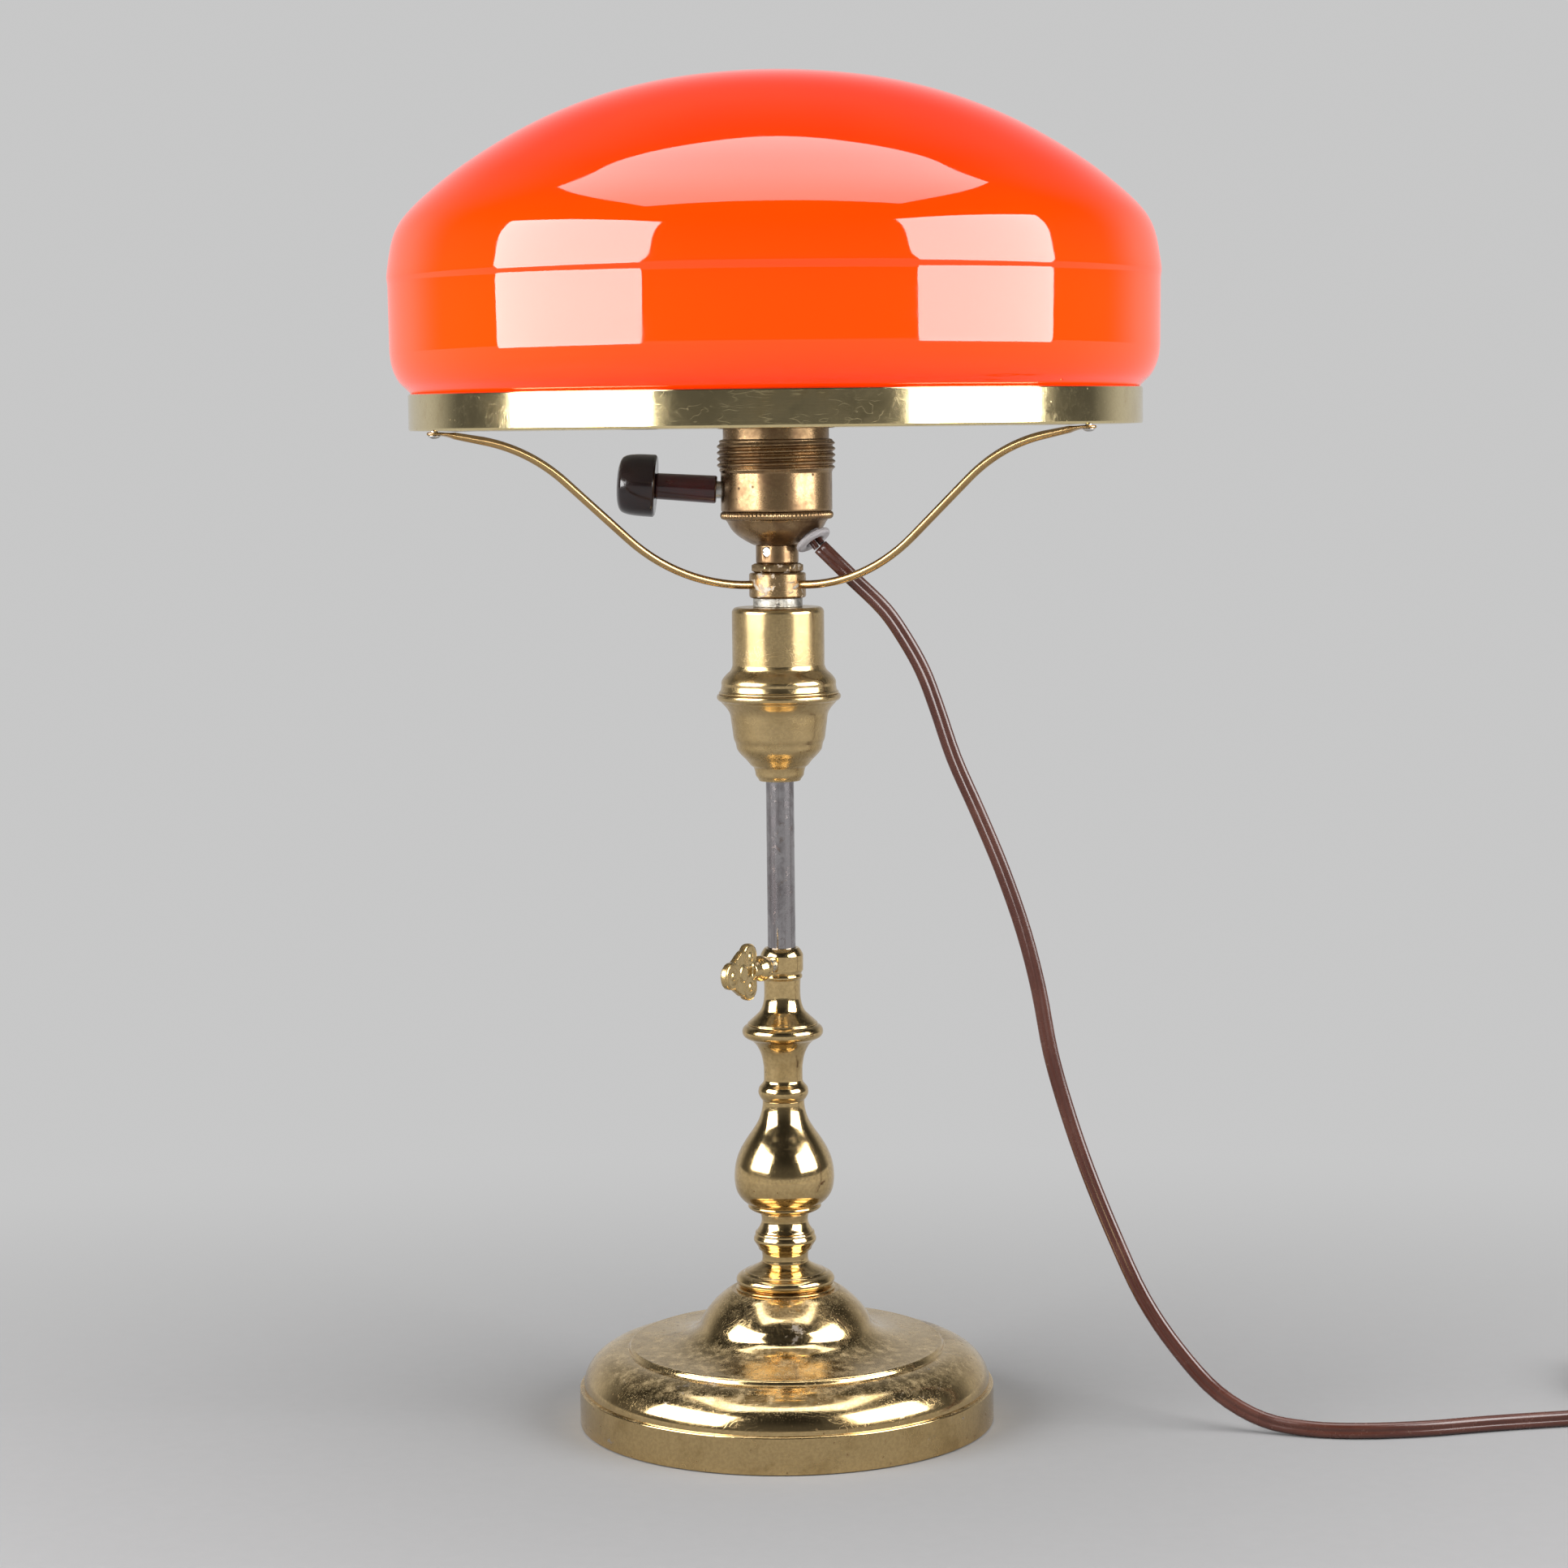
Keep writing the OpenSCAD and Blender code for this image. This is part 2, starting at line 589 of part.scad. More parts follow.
grub_azimuth = 238;
module socket_neck() color("peru") difference() {
    turned([[neck_r - 0.3, neck_z], [neck_r, neck_z + 0.4], [neck_r, cap_z]],
        nipple_r + fit);
    rotate([0, 0, grub_azimuth]) translate([nipple_r, 0, neck_z + 4])
        rotate([0, 90, 0]) cylinder(r = 1.55, h = 5);
}

module grub_screw() color("dimgray") rotate([0, 0, grub_azimuth])
    translate([nipple_r + 0.1, 0, neck_z + 4]) rotate([0, 90, 0]) difference() {
        cylinder(r = 1.5, h = neck_r - nipple_r - 0.5);
        translate([-0.25, -2, neck_r - nipple_r - 1]) cube([0.5, 4, 2]);
    }

module at_gland() rotate([0, 0, gland_azimuth]) translate([gland_at, 0, gland_z])
    rotate([0, 180 - gland_slope, 0]) children();

module socket_cap() color("peru") difference() {
    outer = flow([[7.8, cap_z], [9.3, cap_z + 0.7], [11.7, cap_z + 2.1],
        [13.6, cap_z + 3.5], [15.1, cap_z + 5], [16, cap_z + 6.4], [16.7, cap_z + 7.7],
        [rim_r - 1.7, rim_z]]);
    inner = [for (p = outer) [p[0] - holder_wall * 0.9, min(p[1] + holder_wall * 0.9, rim_z)]];
    spun(concat([[nipple_r + fit, cap_z]], outer),
        concat([[nipple_r + fit, cap_z + 0.9]], inner));
    at_gland() cylinder(r = 3.6, h = 8, center = true);
}

// The milled rim has one ridge for every five degrees.
module socket_rim() color("peru") difference() {
    union() {
        translate([0, 0, rim_z + 0.4]) linear_extrude(height = rim_h - 0.8)
            polygon([for (i = [0 : 143]) let (r = i % 2 == 0 ? rim_r : rim_r - 0.35)
                r * [cos(i * 2.5), sin(i * 2.5)]]);
        translate([0, 0, rim_z]) cylinder(r = rim_r - 0.35, h = rim_h);
    }
    translate([0, 0, rim_z - 1]) cylinder(r = insert_r + 0.1, h = rim_h + 2);
}

module socket_shell() color("peru") difference() {
    crest = body_r + 1.2;
    root = body_r + 0.4;
    turned(concat(
        [[body_r - 0.3, body_z], [body_r, body_z + 0.4], [body_r, thread_z - 0.3],
            [root, thread_z]],
        [for (i = [0 : thread_turns - 1], k = [1 : 5])
            [root + (crest - root) * sin(k * 36), thread_z + (i + k / 6) * thread_pitch]],
        [[root, sleeve_z], [body_r - 1.3, sleeve_z + 0.6],
            [body_r - 1.3, sleeve_top - 0.4], [body_r - 1.7, sleeve_top]]),
        body_r - 1.3 - holder_wall);
    translate([0, 0, body_z - 1])
        cylinder(r = body_r - holder_wall, h = body_h + thread_h);
    along_switch() translate([0, 0, 12]) cylinder(r = spindle_r + slack, h = 10);
}

module porcelain_insert() color("whitesmoke") difference() {
    translate([0, 0, rim_z]) cylinder(r = insert_r, h = insert_h);
    along_switch() translate([0, 0, 7]) cylinder(r = spindle_r + slack, h = 15);
    translate([0, 0, rim_z + 2]) cylinder(r = 1.5, h = insert_h);
    for (s = [-1, 1]) translate([s * 8, 6, rim_z - 1]) cylinder(r = 1.3, h = 7);
}

module insulating_sleeve() color("whitesmoke")
    ring(body_r - 1.3 - holder_wall - 0.1, socket_r + 0.85, insert_top,
        sleeve_top - insert_top - 0.8);

module lamp_thread(r, depth, z, h, turns) {
    function wave(i) = r - depth * (1 - cos(i * 60)) / 2;
    turned([for (i = [0 : turns * 6]) [wave(i), z + h * i / (turns * 6)]], r - depth - 0.6);
}

module contact_shell() color("goldenrod")
    ring(socket_r + 0.7, socket_r, insert_top, sleeve_top - insert_top - 2);

module centre_contact() color("goldenrod") translate([0, 0, insert_top]) {
    cylinder(r = 1.4, h = contact_z - insert_top - 0.4);
    translate([0, 0, contact_z - insert_top - 0.4]) cylinder(r = 4, h = 0.4);
}

module terminal_screws() color("goldenrod") for (s = [-1, 1])
    translate([s * 8, 6, rim_z - 1.8]) {
        cylinder(r = 2.2, h = 1.6);
        cylinder(r = 1.2, h = 7);
    }

module inner_leads() color("saddlebrown") for (s = [-1, 1])
    rod(gland_point - 3.2 * gland_out + [0, s * 1.3, 0], [s * 3.5 + 1.5, 3.2, rim_z - 1.2], 0.9);

// ---- switch ----

module along_switch() translate([0, 0, switch_z]) rotate([0, 0, -2])
    rotate([0, switch_tilt - 90, 0]) children();

module switch_spindle() color("silver") along_switch() {
    translate([0, 0, 7.6]) cylinder(r = spindle_r, h = stem_a + 6 - 7.6);
}

module knob_stem() color("maroon") along_switch() difference() {
    turned([[stem_r - 0.4, stem_a], [stem_r, stem_a + 0.5], [stem_r - 0.3, knob_a]], 0.8);
    translate([0, 0, stem_a - 1]) cylinder(r = spindle_r + fit, h = 7.2);
}

module knob_cap() color("black") along_switch()
    turned(concat([[knob_r - 0.7, knob_a], [knob_r, knob_a + 0.6]],
        flow([[knob_r, knob_a + 1.2], [knob_r - 0.1, knob_a + knob_l * 0.45],
            [knob_r - 0.5, knob_a + knob_l * 0.72], [knob_r - 1.5, knob_a + knob_l * 0.89],
            [knob_r - 4, knob_a + knob_l * 0.975], [knob_r * 0.3, knob_a + knob_l]])), 0.8);

// ---- bulb ----

module bulb_cap() color("silver") {
    difference() {
        lamp_thread(bulb_cap_r, 0.6, contact_z + 3.5, bulb_cap_h - 3.5, 4);
        translate([0, 0, contact_z]) cylinder(r = bulb_cap_r - 1.9, h = bulb_cap_h + 1);
    }
    turned([[3.2, contact_z], [4.6, contact_z + 0.6], [9.5, contact_z + 3],
        [bulb_cap_r - 0.8, contact_z + 3.5], [bulb_cap_r - 0.8, contact_z + 4.5]], 0.5);
}

function bulb_outline(d) = let (z = contact_z + bulb_cap_h, b = z + bulb_h - bulb_r)
    concat(
        flow([[bulb_cap_r - 2.1 - d, z - 6], [bulb_cap_r - 2.1 - d, z],
            [bulb_cap_r - d, z + 3], [bulb_cap_r + 4 - d, z + bulb_h * 0.22],
            [bulb_r * 0.85 - d, z + bulb_h * 0.42],
            [(bulb_r - d) * cos(-14), b + (bulb_r - d) * sin(-14)]]),
        arc([0, b], bulb_r - d, bulb_r - d, -10, 87, 16));

module bulb_glass() color("white") {
    skin = 0.8;
    apex = contact_z + bulb_cap_h + bulb_h;
    spun(concat(bulb_outline(0), [[0, apex]]), concat(bulb_outline(skin), [[0, apex - skin]]));
}

// ---- glass shade ----

// Points of the dome as shares of its radius and of its height.
dome_shape = [[1, 0], [1, 0.08], [0.97, 0.285], [0.865, 0.475], [0.74, 0.635],
    [0.605, 0.77], [0.46, 0.875], [0.31, 0.945], [0.15, 0.985], [0.02, 1]];

// Foot of the glass inside the ring, a curl over the ring, the wall and the dome.
function shade_outline(d) = concat(
    [[rim_glass_r - d, shade_z + 0.3], [rim_glass_r - d, ring_z + ring_h - 1]],
    flow([[rim_glass_r - d, ring_z + ring_h - 0.5], [rim_glass_r + 1.9 - d, ring_z + ring_h + 1.4],
        [shade_r - 3.6 - d, ring_z + ring_h + 3.4], [shade_r - 1.9 - d, ring_z + ring_h + 6.2],
        [shade_r - 0.7 - d, ring_z + ring_h + 9.8], [shade_r - 0.2 - d, shade_wall_z]], 3),
    flow([for (p = dome_shape)
        [(shade_r - d) * p[0], dome_z + (shade_dome_h - d) * p[1]]], 4));

module glass_shade() color("orangered") {
    apex = dome_z + shade_dome_h;
    spun(concat(shade_outline(0), [[0, apex]]),
        concat(shade_outline(glass_t), [[0, apex - glass_t]]));
}

// ---- cord ----

// The gland grips the cap's wall with a disc on each side of it.
module cord_gland() color("lightgray") at_gland() difference() {
    union() {
        translate([0, 0, 0.7]) cylinder(r = gland_r, h = 2);
        translate([0, 0, -2.2]) cylinder(r = 3.5, h = 3.2);
    }
    translate([0, 0, -3]) cylinder(r = 2.8, h = 7);
}

module cord_cores() color("saddlebrown") for (s = [-1, 1])
    rod(gland_point + s * [0.8, 0.9, 0.5] - gland_out,
        cord_line[0] + s * [0.9, 0.4, 0.8] - 0.5 * cord_head, 1.05);

// The cord's route from the gland to the coil, and from the coil to the plug.
cord_line = [[14.5, -8, 300], [19.5, -9, 295], [25, -8.5, 289.5], [36, -7, 278.5],
    [42.5, -6, 269], [48.5, -5, 258], [53, -4, 246], [59, -3, 228], [67, -2, 209.5],
    [75, -1, 190], [82.5, 0, 168], [87.5, 0, 148], [91.5, -1, 126], [97, -2, 106],
    [103.5, -4, 86.5], [112, -7, 65], [122, -11, 43], [133, -15, 26.5], [146.5, -20, 12],
    [161, -26, 4.4], [176, -32, 2.7], [193, -35, 2.7], [215, -33, 2.7], [236, -28, 2.7],
    [262, -23, 2.7], [288, -20, 3], [306, -19.2, 3.4], [322, -19, 3.5]];
tail_line = [[359.5, 18.5, 9], [359.6, 26, 8.7], [360, 34, 7.9], [360.3, 42, 7.1],
    [360.5, 50, 6.9], [360.5, 58, 6.85]];
cord_head = (cord_line[1] - cord_line[0]) / norm(cord_line[1] - cord_line[0]);
coil_at = [322, 18.5];
coil_mid_r = 31.2;               // middle of the turns
coil_band = 6.3;                 // from there to the outermost and innermost turn
coil_low = 3.5;                  // height of the lower layer's middle
coil_high = 9;                   // height of the upper layer's middle

// An oval section that stays level, swept along the route.
module flat_cord(p) {
    sides = 10;
    rings = [for (i = [0 : len(p) - 1]) let (t = heading(p, i),
            thin = cross([0, 0, 1], t) / norm(cross([0, 0, 1], t)), wide = cross(t, thin))
        for (k = [0 : sides - 1]) p[i] + cord_t / 2 * cos((k + 0.5) * 360 / sides) * thin
            + cord_w / 2 * sin((k + 0.5) * 360 / sides) * wide];
    last = (len(p) - 1) * sides;
    polyhedron(points = rings, faces = concat(
        [[for (k = [0 : sides - 1]) k]],
        [for (i = [0 : len(p) - 2], k = [0 : sides - 1]) let (a = i * sides,
            n = (k + 1) % sides) [a + n, a + k, a + sides + k, a + sides + n]],
        [[for (k = [sides - 1 : -1 : 0]) last + k]]));
}

module cord() color("saddlebrown") flat_cord(cord_line);
module cord_tail() color("saddlebrown") flat_cord(tail_line);

coil_out = coil_mid_r + coil_band + cord_t / 2;
coil_in = coil_mid_r - coil_band - cord_t / 2;
coil_foot = coil_low - cord_w / 2;
coil_top = coil_high + cord_w / 2;
module cord_coil() color("saddlebrown") translate(coil_at)
    ring(coil_out, coil_in, coil_foot, coil_top - coil_foot);

module coil_tie() color("black") translate(coil_at) rotate([0, 0, 128])
    rotate_extrude(angle = 14) difference() {
        translate([coil_in - tie_t, coil_foot - tie_t])
            square([coil_out - coil_in + 2 * tie_t, coil_top - coil_foot + 2 * tie_t]);
        translate([coil_in, coil_foot])
            square([coil_out - coil_in, coil_top - coil_foot]);
    }

// ---- plug ----

plug_x = tail_line[5][0];
plug_y = tail_line[5][1];
plug_z = plug_t / 2;
pin_root_r = 1.5;
pin_root_l = 6;                  // depth of the root in the plug
pin_root_seen = 0.3;
module plug_outline(w, tip) polygon([[-4.2, 0], [4.2, 0], [5, 5], [w / 2 - 4, plug_l * 0.5],
    [w / 2, plug_l * 0.66], [tip, plug_l], [-tip, plug_l], [-w / 2, plug_l * 0.66],
    [4 - w / 2, plug_l * 0.5], [-5, 5]]);
module plug_body() color("saddlebrown") translate([plug_x, plug_y, 0]) difference() {
    intersection() {
        linear_extrude(height = plug_t) plug_outline(plug_w, plug_w / 2 - 0.6);
        translate([0, 0, plug_z]) rotate([-90, 0, 0]) linear_extrude(height = plug_l)
            polygon([for (a = [22.5 : 45 : 360]) let (c = cos(a), s = sin(a))
                [sign(c) * (abs(c) > 0.7 ? plug_w / 2 : plug_w / 2 - 3.5),
                    sign(s) * (abs(s) > 0.7 ? plug_z : plug_z - 3.5)]]);
    }
    for (s = [-1, 1]) translate([s * pin_gap / 2, plug_l - pin_root_l, plug_z])
        rotate([-90, 0, 0]) cylinder(r = pin_root_r, h = pin_root_l + 1);
}

// Each pin has a thinner root, which shows for a little at the plug's face.
module plug_pins() color("silver") for (s = [-1, 1])
    translate([plug_x + s * pin_gap / 2, plug_y + plug_l, plug_z]) rotate([-90, 0, 0]) {
        translate([0, 0, -pin_root_l]) cylinder(r = pin_root_r, h = pin_root_l + 1);
        translate([0, 0, pin_root_seen]) cylinder(r = pin_r, h = pin_l - pin_root_seen);
    }

foot_shell();
foot_weight();
foot_felt();
foot_washer();
foot_nut();
guide_tube();
column_collar();
column_knop();
column_vase();
column_baluster();
clamp_head();
clamp_pad();
clamp_screw();
thumb_key();
pole();
lower_cup();
upper_cover();
pole_coupler();
threaded_nipple();
spacer_nut();
carrier_hub();
carrier_arm_left();
carrier_arm_right();
carrier_arm_back();
arm_rivets();
gallery_ring();
lock_nut();
socket_neck();
grub_screw();
socket_cap();
socket_rim();
socket_shell();
porcelain_insert();
insulating_sleeve();
contact_shell();
centre_contact();
terminal_screws();
inner_leads();
switch_spindle();
knob_stem();
knob_cap();
bulb_cap();
bulb_glass();
glass_shade();
cord_gland();
cord_cores();
cord();
cord_coil();
coil_tie();
cord_tail();
plug_body();
plug_pins();
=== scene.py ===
"""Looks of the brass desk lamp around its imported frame. Metres, in the row frame."""
import math

import bmesh
import bpy
from mathutils import Matrix, Vector


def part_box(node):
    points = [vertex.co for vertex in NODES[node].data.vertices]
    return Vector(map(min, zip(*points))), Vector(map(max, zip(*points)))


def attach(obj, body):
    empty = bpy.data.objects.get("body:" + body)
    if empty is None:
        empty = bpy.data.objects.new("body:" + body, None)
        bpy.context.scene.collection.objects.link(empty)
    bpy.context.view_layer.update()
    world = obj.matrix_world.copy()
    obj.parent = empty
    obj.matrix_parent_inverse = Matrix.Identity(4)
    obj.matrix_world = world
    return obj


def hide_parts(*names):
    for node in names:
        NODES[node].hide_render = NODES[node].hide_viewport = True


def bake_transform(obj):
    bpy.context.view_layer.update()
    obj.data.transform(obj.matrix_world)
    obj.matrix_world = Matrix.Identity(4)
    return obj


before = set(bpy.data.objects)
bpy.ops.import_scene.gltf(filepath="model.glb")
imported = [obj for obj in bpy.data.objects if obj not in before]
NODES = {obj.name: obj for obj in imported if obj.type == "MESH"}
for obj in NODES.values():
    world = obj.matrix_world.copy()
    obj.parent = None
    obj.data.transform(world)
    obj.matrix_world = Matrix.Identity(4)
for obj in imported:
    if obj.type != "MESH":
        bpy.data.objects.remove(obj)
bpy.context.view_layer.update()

MM = 0.001

# Directions round the lamp, in degrees from +X towards +Y
ARM_AZIMUTHS = {"carrier_arm_left": 205, "carrier_arm_right": 325, "carrier_arm_back": 85}
KEY_AZIMUTH, GRUB_AZIMUTH, GLAND_AZIMUTH = 240, 238, -30

CORD_WIDTH, CORD_THICKNESS = 0.0054, 0.0032

# The foot and the curl of the glass, and its dome
GLASS_CURL_HEIGHT, GLASS_DOME_HEIGHT = 0.016, 0.0701

BACKGROUND_GREY = 0.575


# ---------------------------------------------------------------- camera
def make_camera(place=(0.0014, -1.233, 0.3415), lens=83.85, down=5.65, lean=0.65):
    """A camera that looks along +Y and down, with a slight lean. Angles in degrees."""
    data = bpy.data.cameras.new("camera")
    data.lens, data.sensor_width = lens, 36
    data.clip_start, data.clip_end = 0.05, 60
    camera = bpy.data.objects.new("camera", data)
    bpy.context.scene.collection.objects.link(camera)
    pitch, roll = math.radians(down), math.radians(lean)
    right, ahead = Vector((1, 0, 0)), Vector((0, math.cos(pitch), -math.sin(pitch)))
    up = right.cross(ahead)
    side = right * math.cos(roll) - up * math.sin(roll)
    top = up * math.cos(roll) + right * math.sin(roll)
    m = Matrix((side, top, -ahead)).transposed().to_4x4()
    m.translation = Vector(place)
    camera.matrix_world = m
    bpy.context.scene.camera = camera


make_camera()


# ---------------------------------------------------------------- mesh helpers
def mesh_object(name, points, faces, material=None, weighted=True):
    me = bpy.data.meshes.new(name)
    me.from_pydata([tuple(p) for p in points], [], faces)
    b = bmesh.new()
    b.from_mesh(me)
    bmesh.ops.recalc_face_normals(b, faces=b.faces)
    b.to_mesh(me)
    b.free()
    me.shade_smooth()
    o = bpy.data.objects.new(name, me)
    bpy.context.scene.collection.objects.link(o)
    if material:
        me.materials.append(material)
    if weighted:
        m = o.modifiers.new("normals", "WEIGHTED_NORMAL")
        m.mode, m.weight = "FACE_AREA", 50
    return o


def curve_through(points, steps):
    """A centripetal curve through all the points, with so many steps from each to the next."""
    p = [Vector(q) for q in points]
    p = [2 * p[0] - p[1]] + p + [2 * p[-1] - p[-2]]
    out = []
    for i in range(1, len(p) - 2):
        a, b, c, d = p[i - 1:i + 3]
        t1 = (b - a).length ** 0.5
        t2 = t1 + (c - b).length ** 0.5
        t3 = t2 + (d - c).length ** 0.5
        for k in range(steps):
            t = t1 + (t2 - t1) * k / steps
            share = (t - t1) / (t2 - t1)
            ab, bc, cd = a.lerp(b, t / t1), b.lerp(c, share), c.lerp(d, (t - t2) / (t3 - t2))
            out.append(ab.lerp(bc, t / t2).lerp(bc.lerp(cd, (t - t1) / (t3 - t1)), share))
    return out + [p[-2]]


def angles_round(n, start=0.0):
    """n even angles of a full turn, the first one start steps from 0."""
    return [2 * math.pi * (k + start) / n for k in range(n)]


def loft(rings):
    """Points and faces of a closed tube through rings of equal count."""
    n = len(rings[0])
    points = [p for r in rings for p in r]
    faces = [(i * n + k, i * n + (k + 1) % n, (i + 1) * n + (k + 1) % n, (i + 1) * n + k)
             for i in range(len(rings) - 1) for k in range(n)]
    faces += [tuple(range(n)), tuple((len(rings) - 1) * n + k for k in range(n))]
    return points, faces


def sweep(path, section):
    """Rings of a section that stays upright on the path.
    The section is given as (across the thickness, across the width)."""
    rings = []
    for i, p in enumerate(path):
        t = (path[min(i + 1, len(path) - 1)] - path[max(i - 1, 0)]).normalized()
        thin = Vector((0, 0, 1)).cross(t).normalized()
        wide = t.cross(thin)
        rings.append([p + thin * a + wide * b for a, b in section])
    return rings


# ---------------------------------------------------------------- the cord
# From the gland down to the floor and along it to the coil, in millimetres
ROUTE = [(14.5, -8, 300), (19.5, -9, 295), (25, -8.5, 289.5), (36, -7, 278.5), (42.5, -6, 269),
         (48.5, -5, 258), (53, -4, 246), (59, -3, 228), (67, -2, 209.5), (75, -1, 190),
         (82.5, 0, 168), (87.5, 0, 148), (91.5, -1, 126), (97, -2, 106), (103.5, -4, 86.5),
         (112, -7, 65), (122, -11, 43), (133, -15, 26.5), (146.5, -20, 12), (161, -26, 4.4),
         (176, -32, 2.7), (193, -35, 2.7), (215, -33, 2.7), (236, -28, 2.7), (262, -23, 2.7),
         (288, -20, 3), (306, -19.2, 3.4), (322, -19, 3.5)]
# From the coil to the plug
TAIL = [(359.5, 18.5, 9), (359.6, 26, 8.7), (360, 34, 7.9), (360.3, 42, 7.1), (360.5, 50, 6.9),
        (360.5, 58, 6.85)]
COIL_AT = Vector((322, 18.5, 0)) * MM


def coil_points(outer=37.5, inner=24.9, low=3.5, high=9.0):
    """The lower layer winds inwards for 3.25 turns, the upper one outwards for 3."""
    out = []
    for k in range(1, 130):
        share = k / 130
        out.append((math.radians(-90 + 1170 * share), outer - (outer - inner) * share, low))
    for k in range(0, 120):
        turn = 1080 * k / 120
        climb = min(1, turn / 120)
        widening = max(0, turn - 90) / 990
        out.append((math.radians(turn), inner + (outer - inner) * widening,
                    low + (high - low) * climb * climb * (3 - 2 * climb)))
    return [COIL_AT + Vector((r * math.cos(a), r * math.sin(a), z)) * MM for a, r, z in out]


def lobes(width, thickness, n=8):
    """Section of a flat twin cord: two round cores side by side with a groove between them."""
    r, off = thickness / 2, (width - thickness) / 2
    edge = math.acos(max(-1, -off / r))
    angles = [-edge + 2 * edge * (k + 0.5) / n for k in range(n)]
    half = [(r * math.sin(a), off + r * math.cos(a)) for a in angles]
    groove = r * math.sin(edge) * 1.04
    return half + [(groove, 0)] + [(-a, -b) for a, b in half] + [(-groove, 0)]


head_path = curve_through([Vector(p) * MM for p in ROUTE], 4)
tail_path = curve_through([Vector(p) * MM for p in TAIL], 3)
cord_path = head_path + coil_points() + tail_path
cord = mesh_object("mains_cord", *loft(sweep(cord_path, lobes(CORD_WIDTH, CORD_THICKNESS))),
                   weighted=False)


# ---------------------------------------------------------------- materials
class Shader:
    """A node material whose patterns are laid in the object's own coordinates."""

    def __init__(self, name):
        self.material = bpy.data.materials.new(name)
        self.material.use_nodes = True
        self.tree = self.material.node_tree
        self.base = next(n for n in self.tree.nodes if n.type == "BSDF_PRINCIPLED")
        self.coords = self.node("ShaderNodeTexCoord").outputs["Object"]

    def node(self, kind, **settings):
        n = self.tree.nodes.new(kind)
        for k, v in settings.items():
            setattr(n, k, v)
        return n

    def put(self, value, socket):
        if isinstance(value, bpy.types.NodeSocket):
            self.tree.links.new(value, socket)
        else:
            socket.default_value = value

    def place(self, scale=(1, 1, 1), turn=(0, 0, 0), shift=(0, 0, 0)):
        m = self.node("ShaderNodeMapping")
        self.put(self.coords, m.inputs["Vector"])
        m.inputs["Scale"].default_value = scale
        m.inputs["Rotation"].default_value = turn
        m.inputs["Location"].default_value = shift
        return m.outputs["Vector"]

    def noise(self, scale, detail=4.0, rough=0.55, vector=None, distort=0.0):
        n = self.node("ShaderNodeTexNoise")
        self.put(vector or self.coords, n.inputs["Vector"])
        n.inputs["Scale"].default_value = scale
        n.inputs["Detail"].default_value = detail
        n.inputs["Roughness"].default_value = rough
        n.inputs["Distortion"].default_value = distort
        return n.outputs["Fac"]

    def cells(self, scale, vector):
        n = self.node("ShaderNodeTexVoronoi")
        self.put(vector, n.inputs["Vector"])
        n.inputs["Scale"].default_value = scale
        return n.outputs["Distance"]

    def span(self, value, low, high, to_low=0.0, to_high=1.0):
        n = self.node("ShaderNodeMapRange", interpolation_type="SMOOTHSTEP")
        limits = {"Value": value, "From Min": low, "From Max": high, "To Min": to_low, "To Max": to_high}
        for socket, v in limits.items():
            self.put(v, n.inputs[socket])
        return n.outputs["Result"]

    def maths(self, what, a, b=0.0):
        n = self.node("ShaderNodeMath", operation=what)
        self.put(a, n.inputs[0])
        self.put(b, n.inputs[1])
        return n.outputs[0]

    def mix(self, share, a, b):
        n = self.node("ShaderNodeMix", data_type="RGBA")
        self.put(share, n.inputs["Factor"])
        self.put(a if isinstance(a, bpy.types.NodeSocket) else (*a, 1), n.inputs[6])
        self.put(b if isinstance(b, bpy.types.NodeSocket) else (*b, 1), n.inputs[7])
        return n.outputs[2]

    def bump(self, height, strength, distance=0.0002, under=None):
        n = self.node("ShaderNodeBump")
        self.put(height, n.inputs["Height"])
        n.inputs["Strength"].default_value = strength
        n.inputs["Distance"].default_value = distance
        if under:
            self.put(under, n.inputs["Normal"])
        return n.outputs["Normal"]

    def upward(self):
        g = self.node("ShaderNodeNewGeometry")
        s = self.node("ShaderNodeSeparateXYZ")
        self.put(g.outputs["Normal"], s.inputs[0])
        return s.outputs["Z"]

    def scratches(self, scale, width, angles, seed):
        """Fine straight scratches in several directions, 1 on a scratch and 0 beside it."""
        total = None
        for i, a in enumerate(angles):
            v = self.place((0.02, 1, 0.35), (0.3 * a, 0.5 * a, a), (seed + i * 3.1, seed * 1.7, i * 5.3))
            line = self.maths("ABSOLUTE", self.maths("SUBTRACT", self.noise(scale, 1.5, 0.5, v), 0.5))
            thin = self.span(line, 0.0, width, 1.0, 0.0)
            gate = self.span(self.noise(90, 2, 0.5, self.place(shift=(seed + i, i * 7, 2))), 0.5, 0.62)
            part = self.maths("MULTIPLY", thin, gate)
            total = part if total is None else self.maths("MAXIMUM", total, part)
        return total

    def done(self, **sockets):
        for k, v in sockets.items():
            socket = self.base.inputs[k.replace("_", " ")]
            self.put((*v, 1) if isinstance(v, tuple) and len(v) == 3 else v, socket)
        return self.material


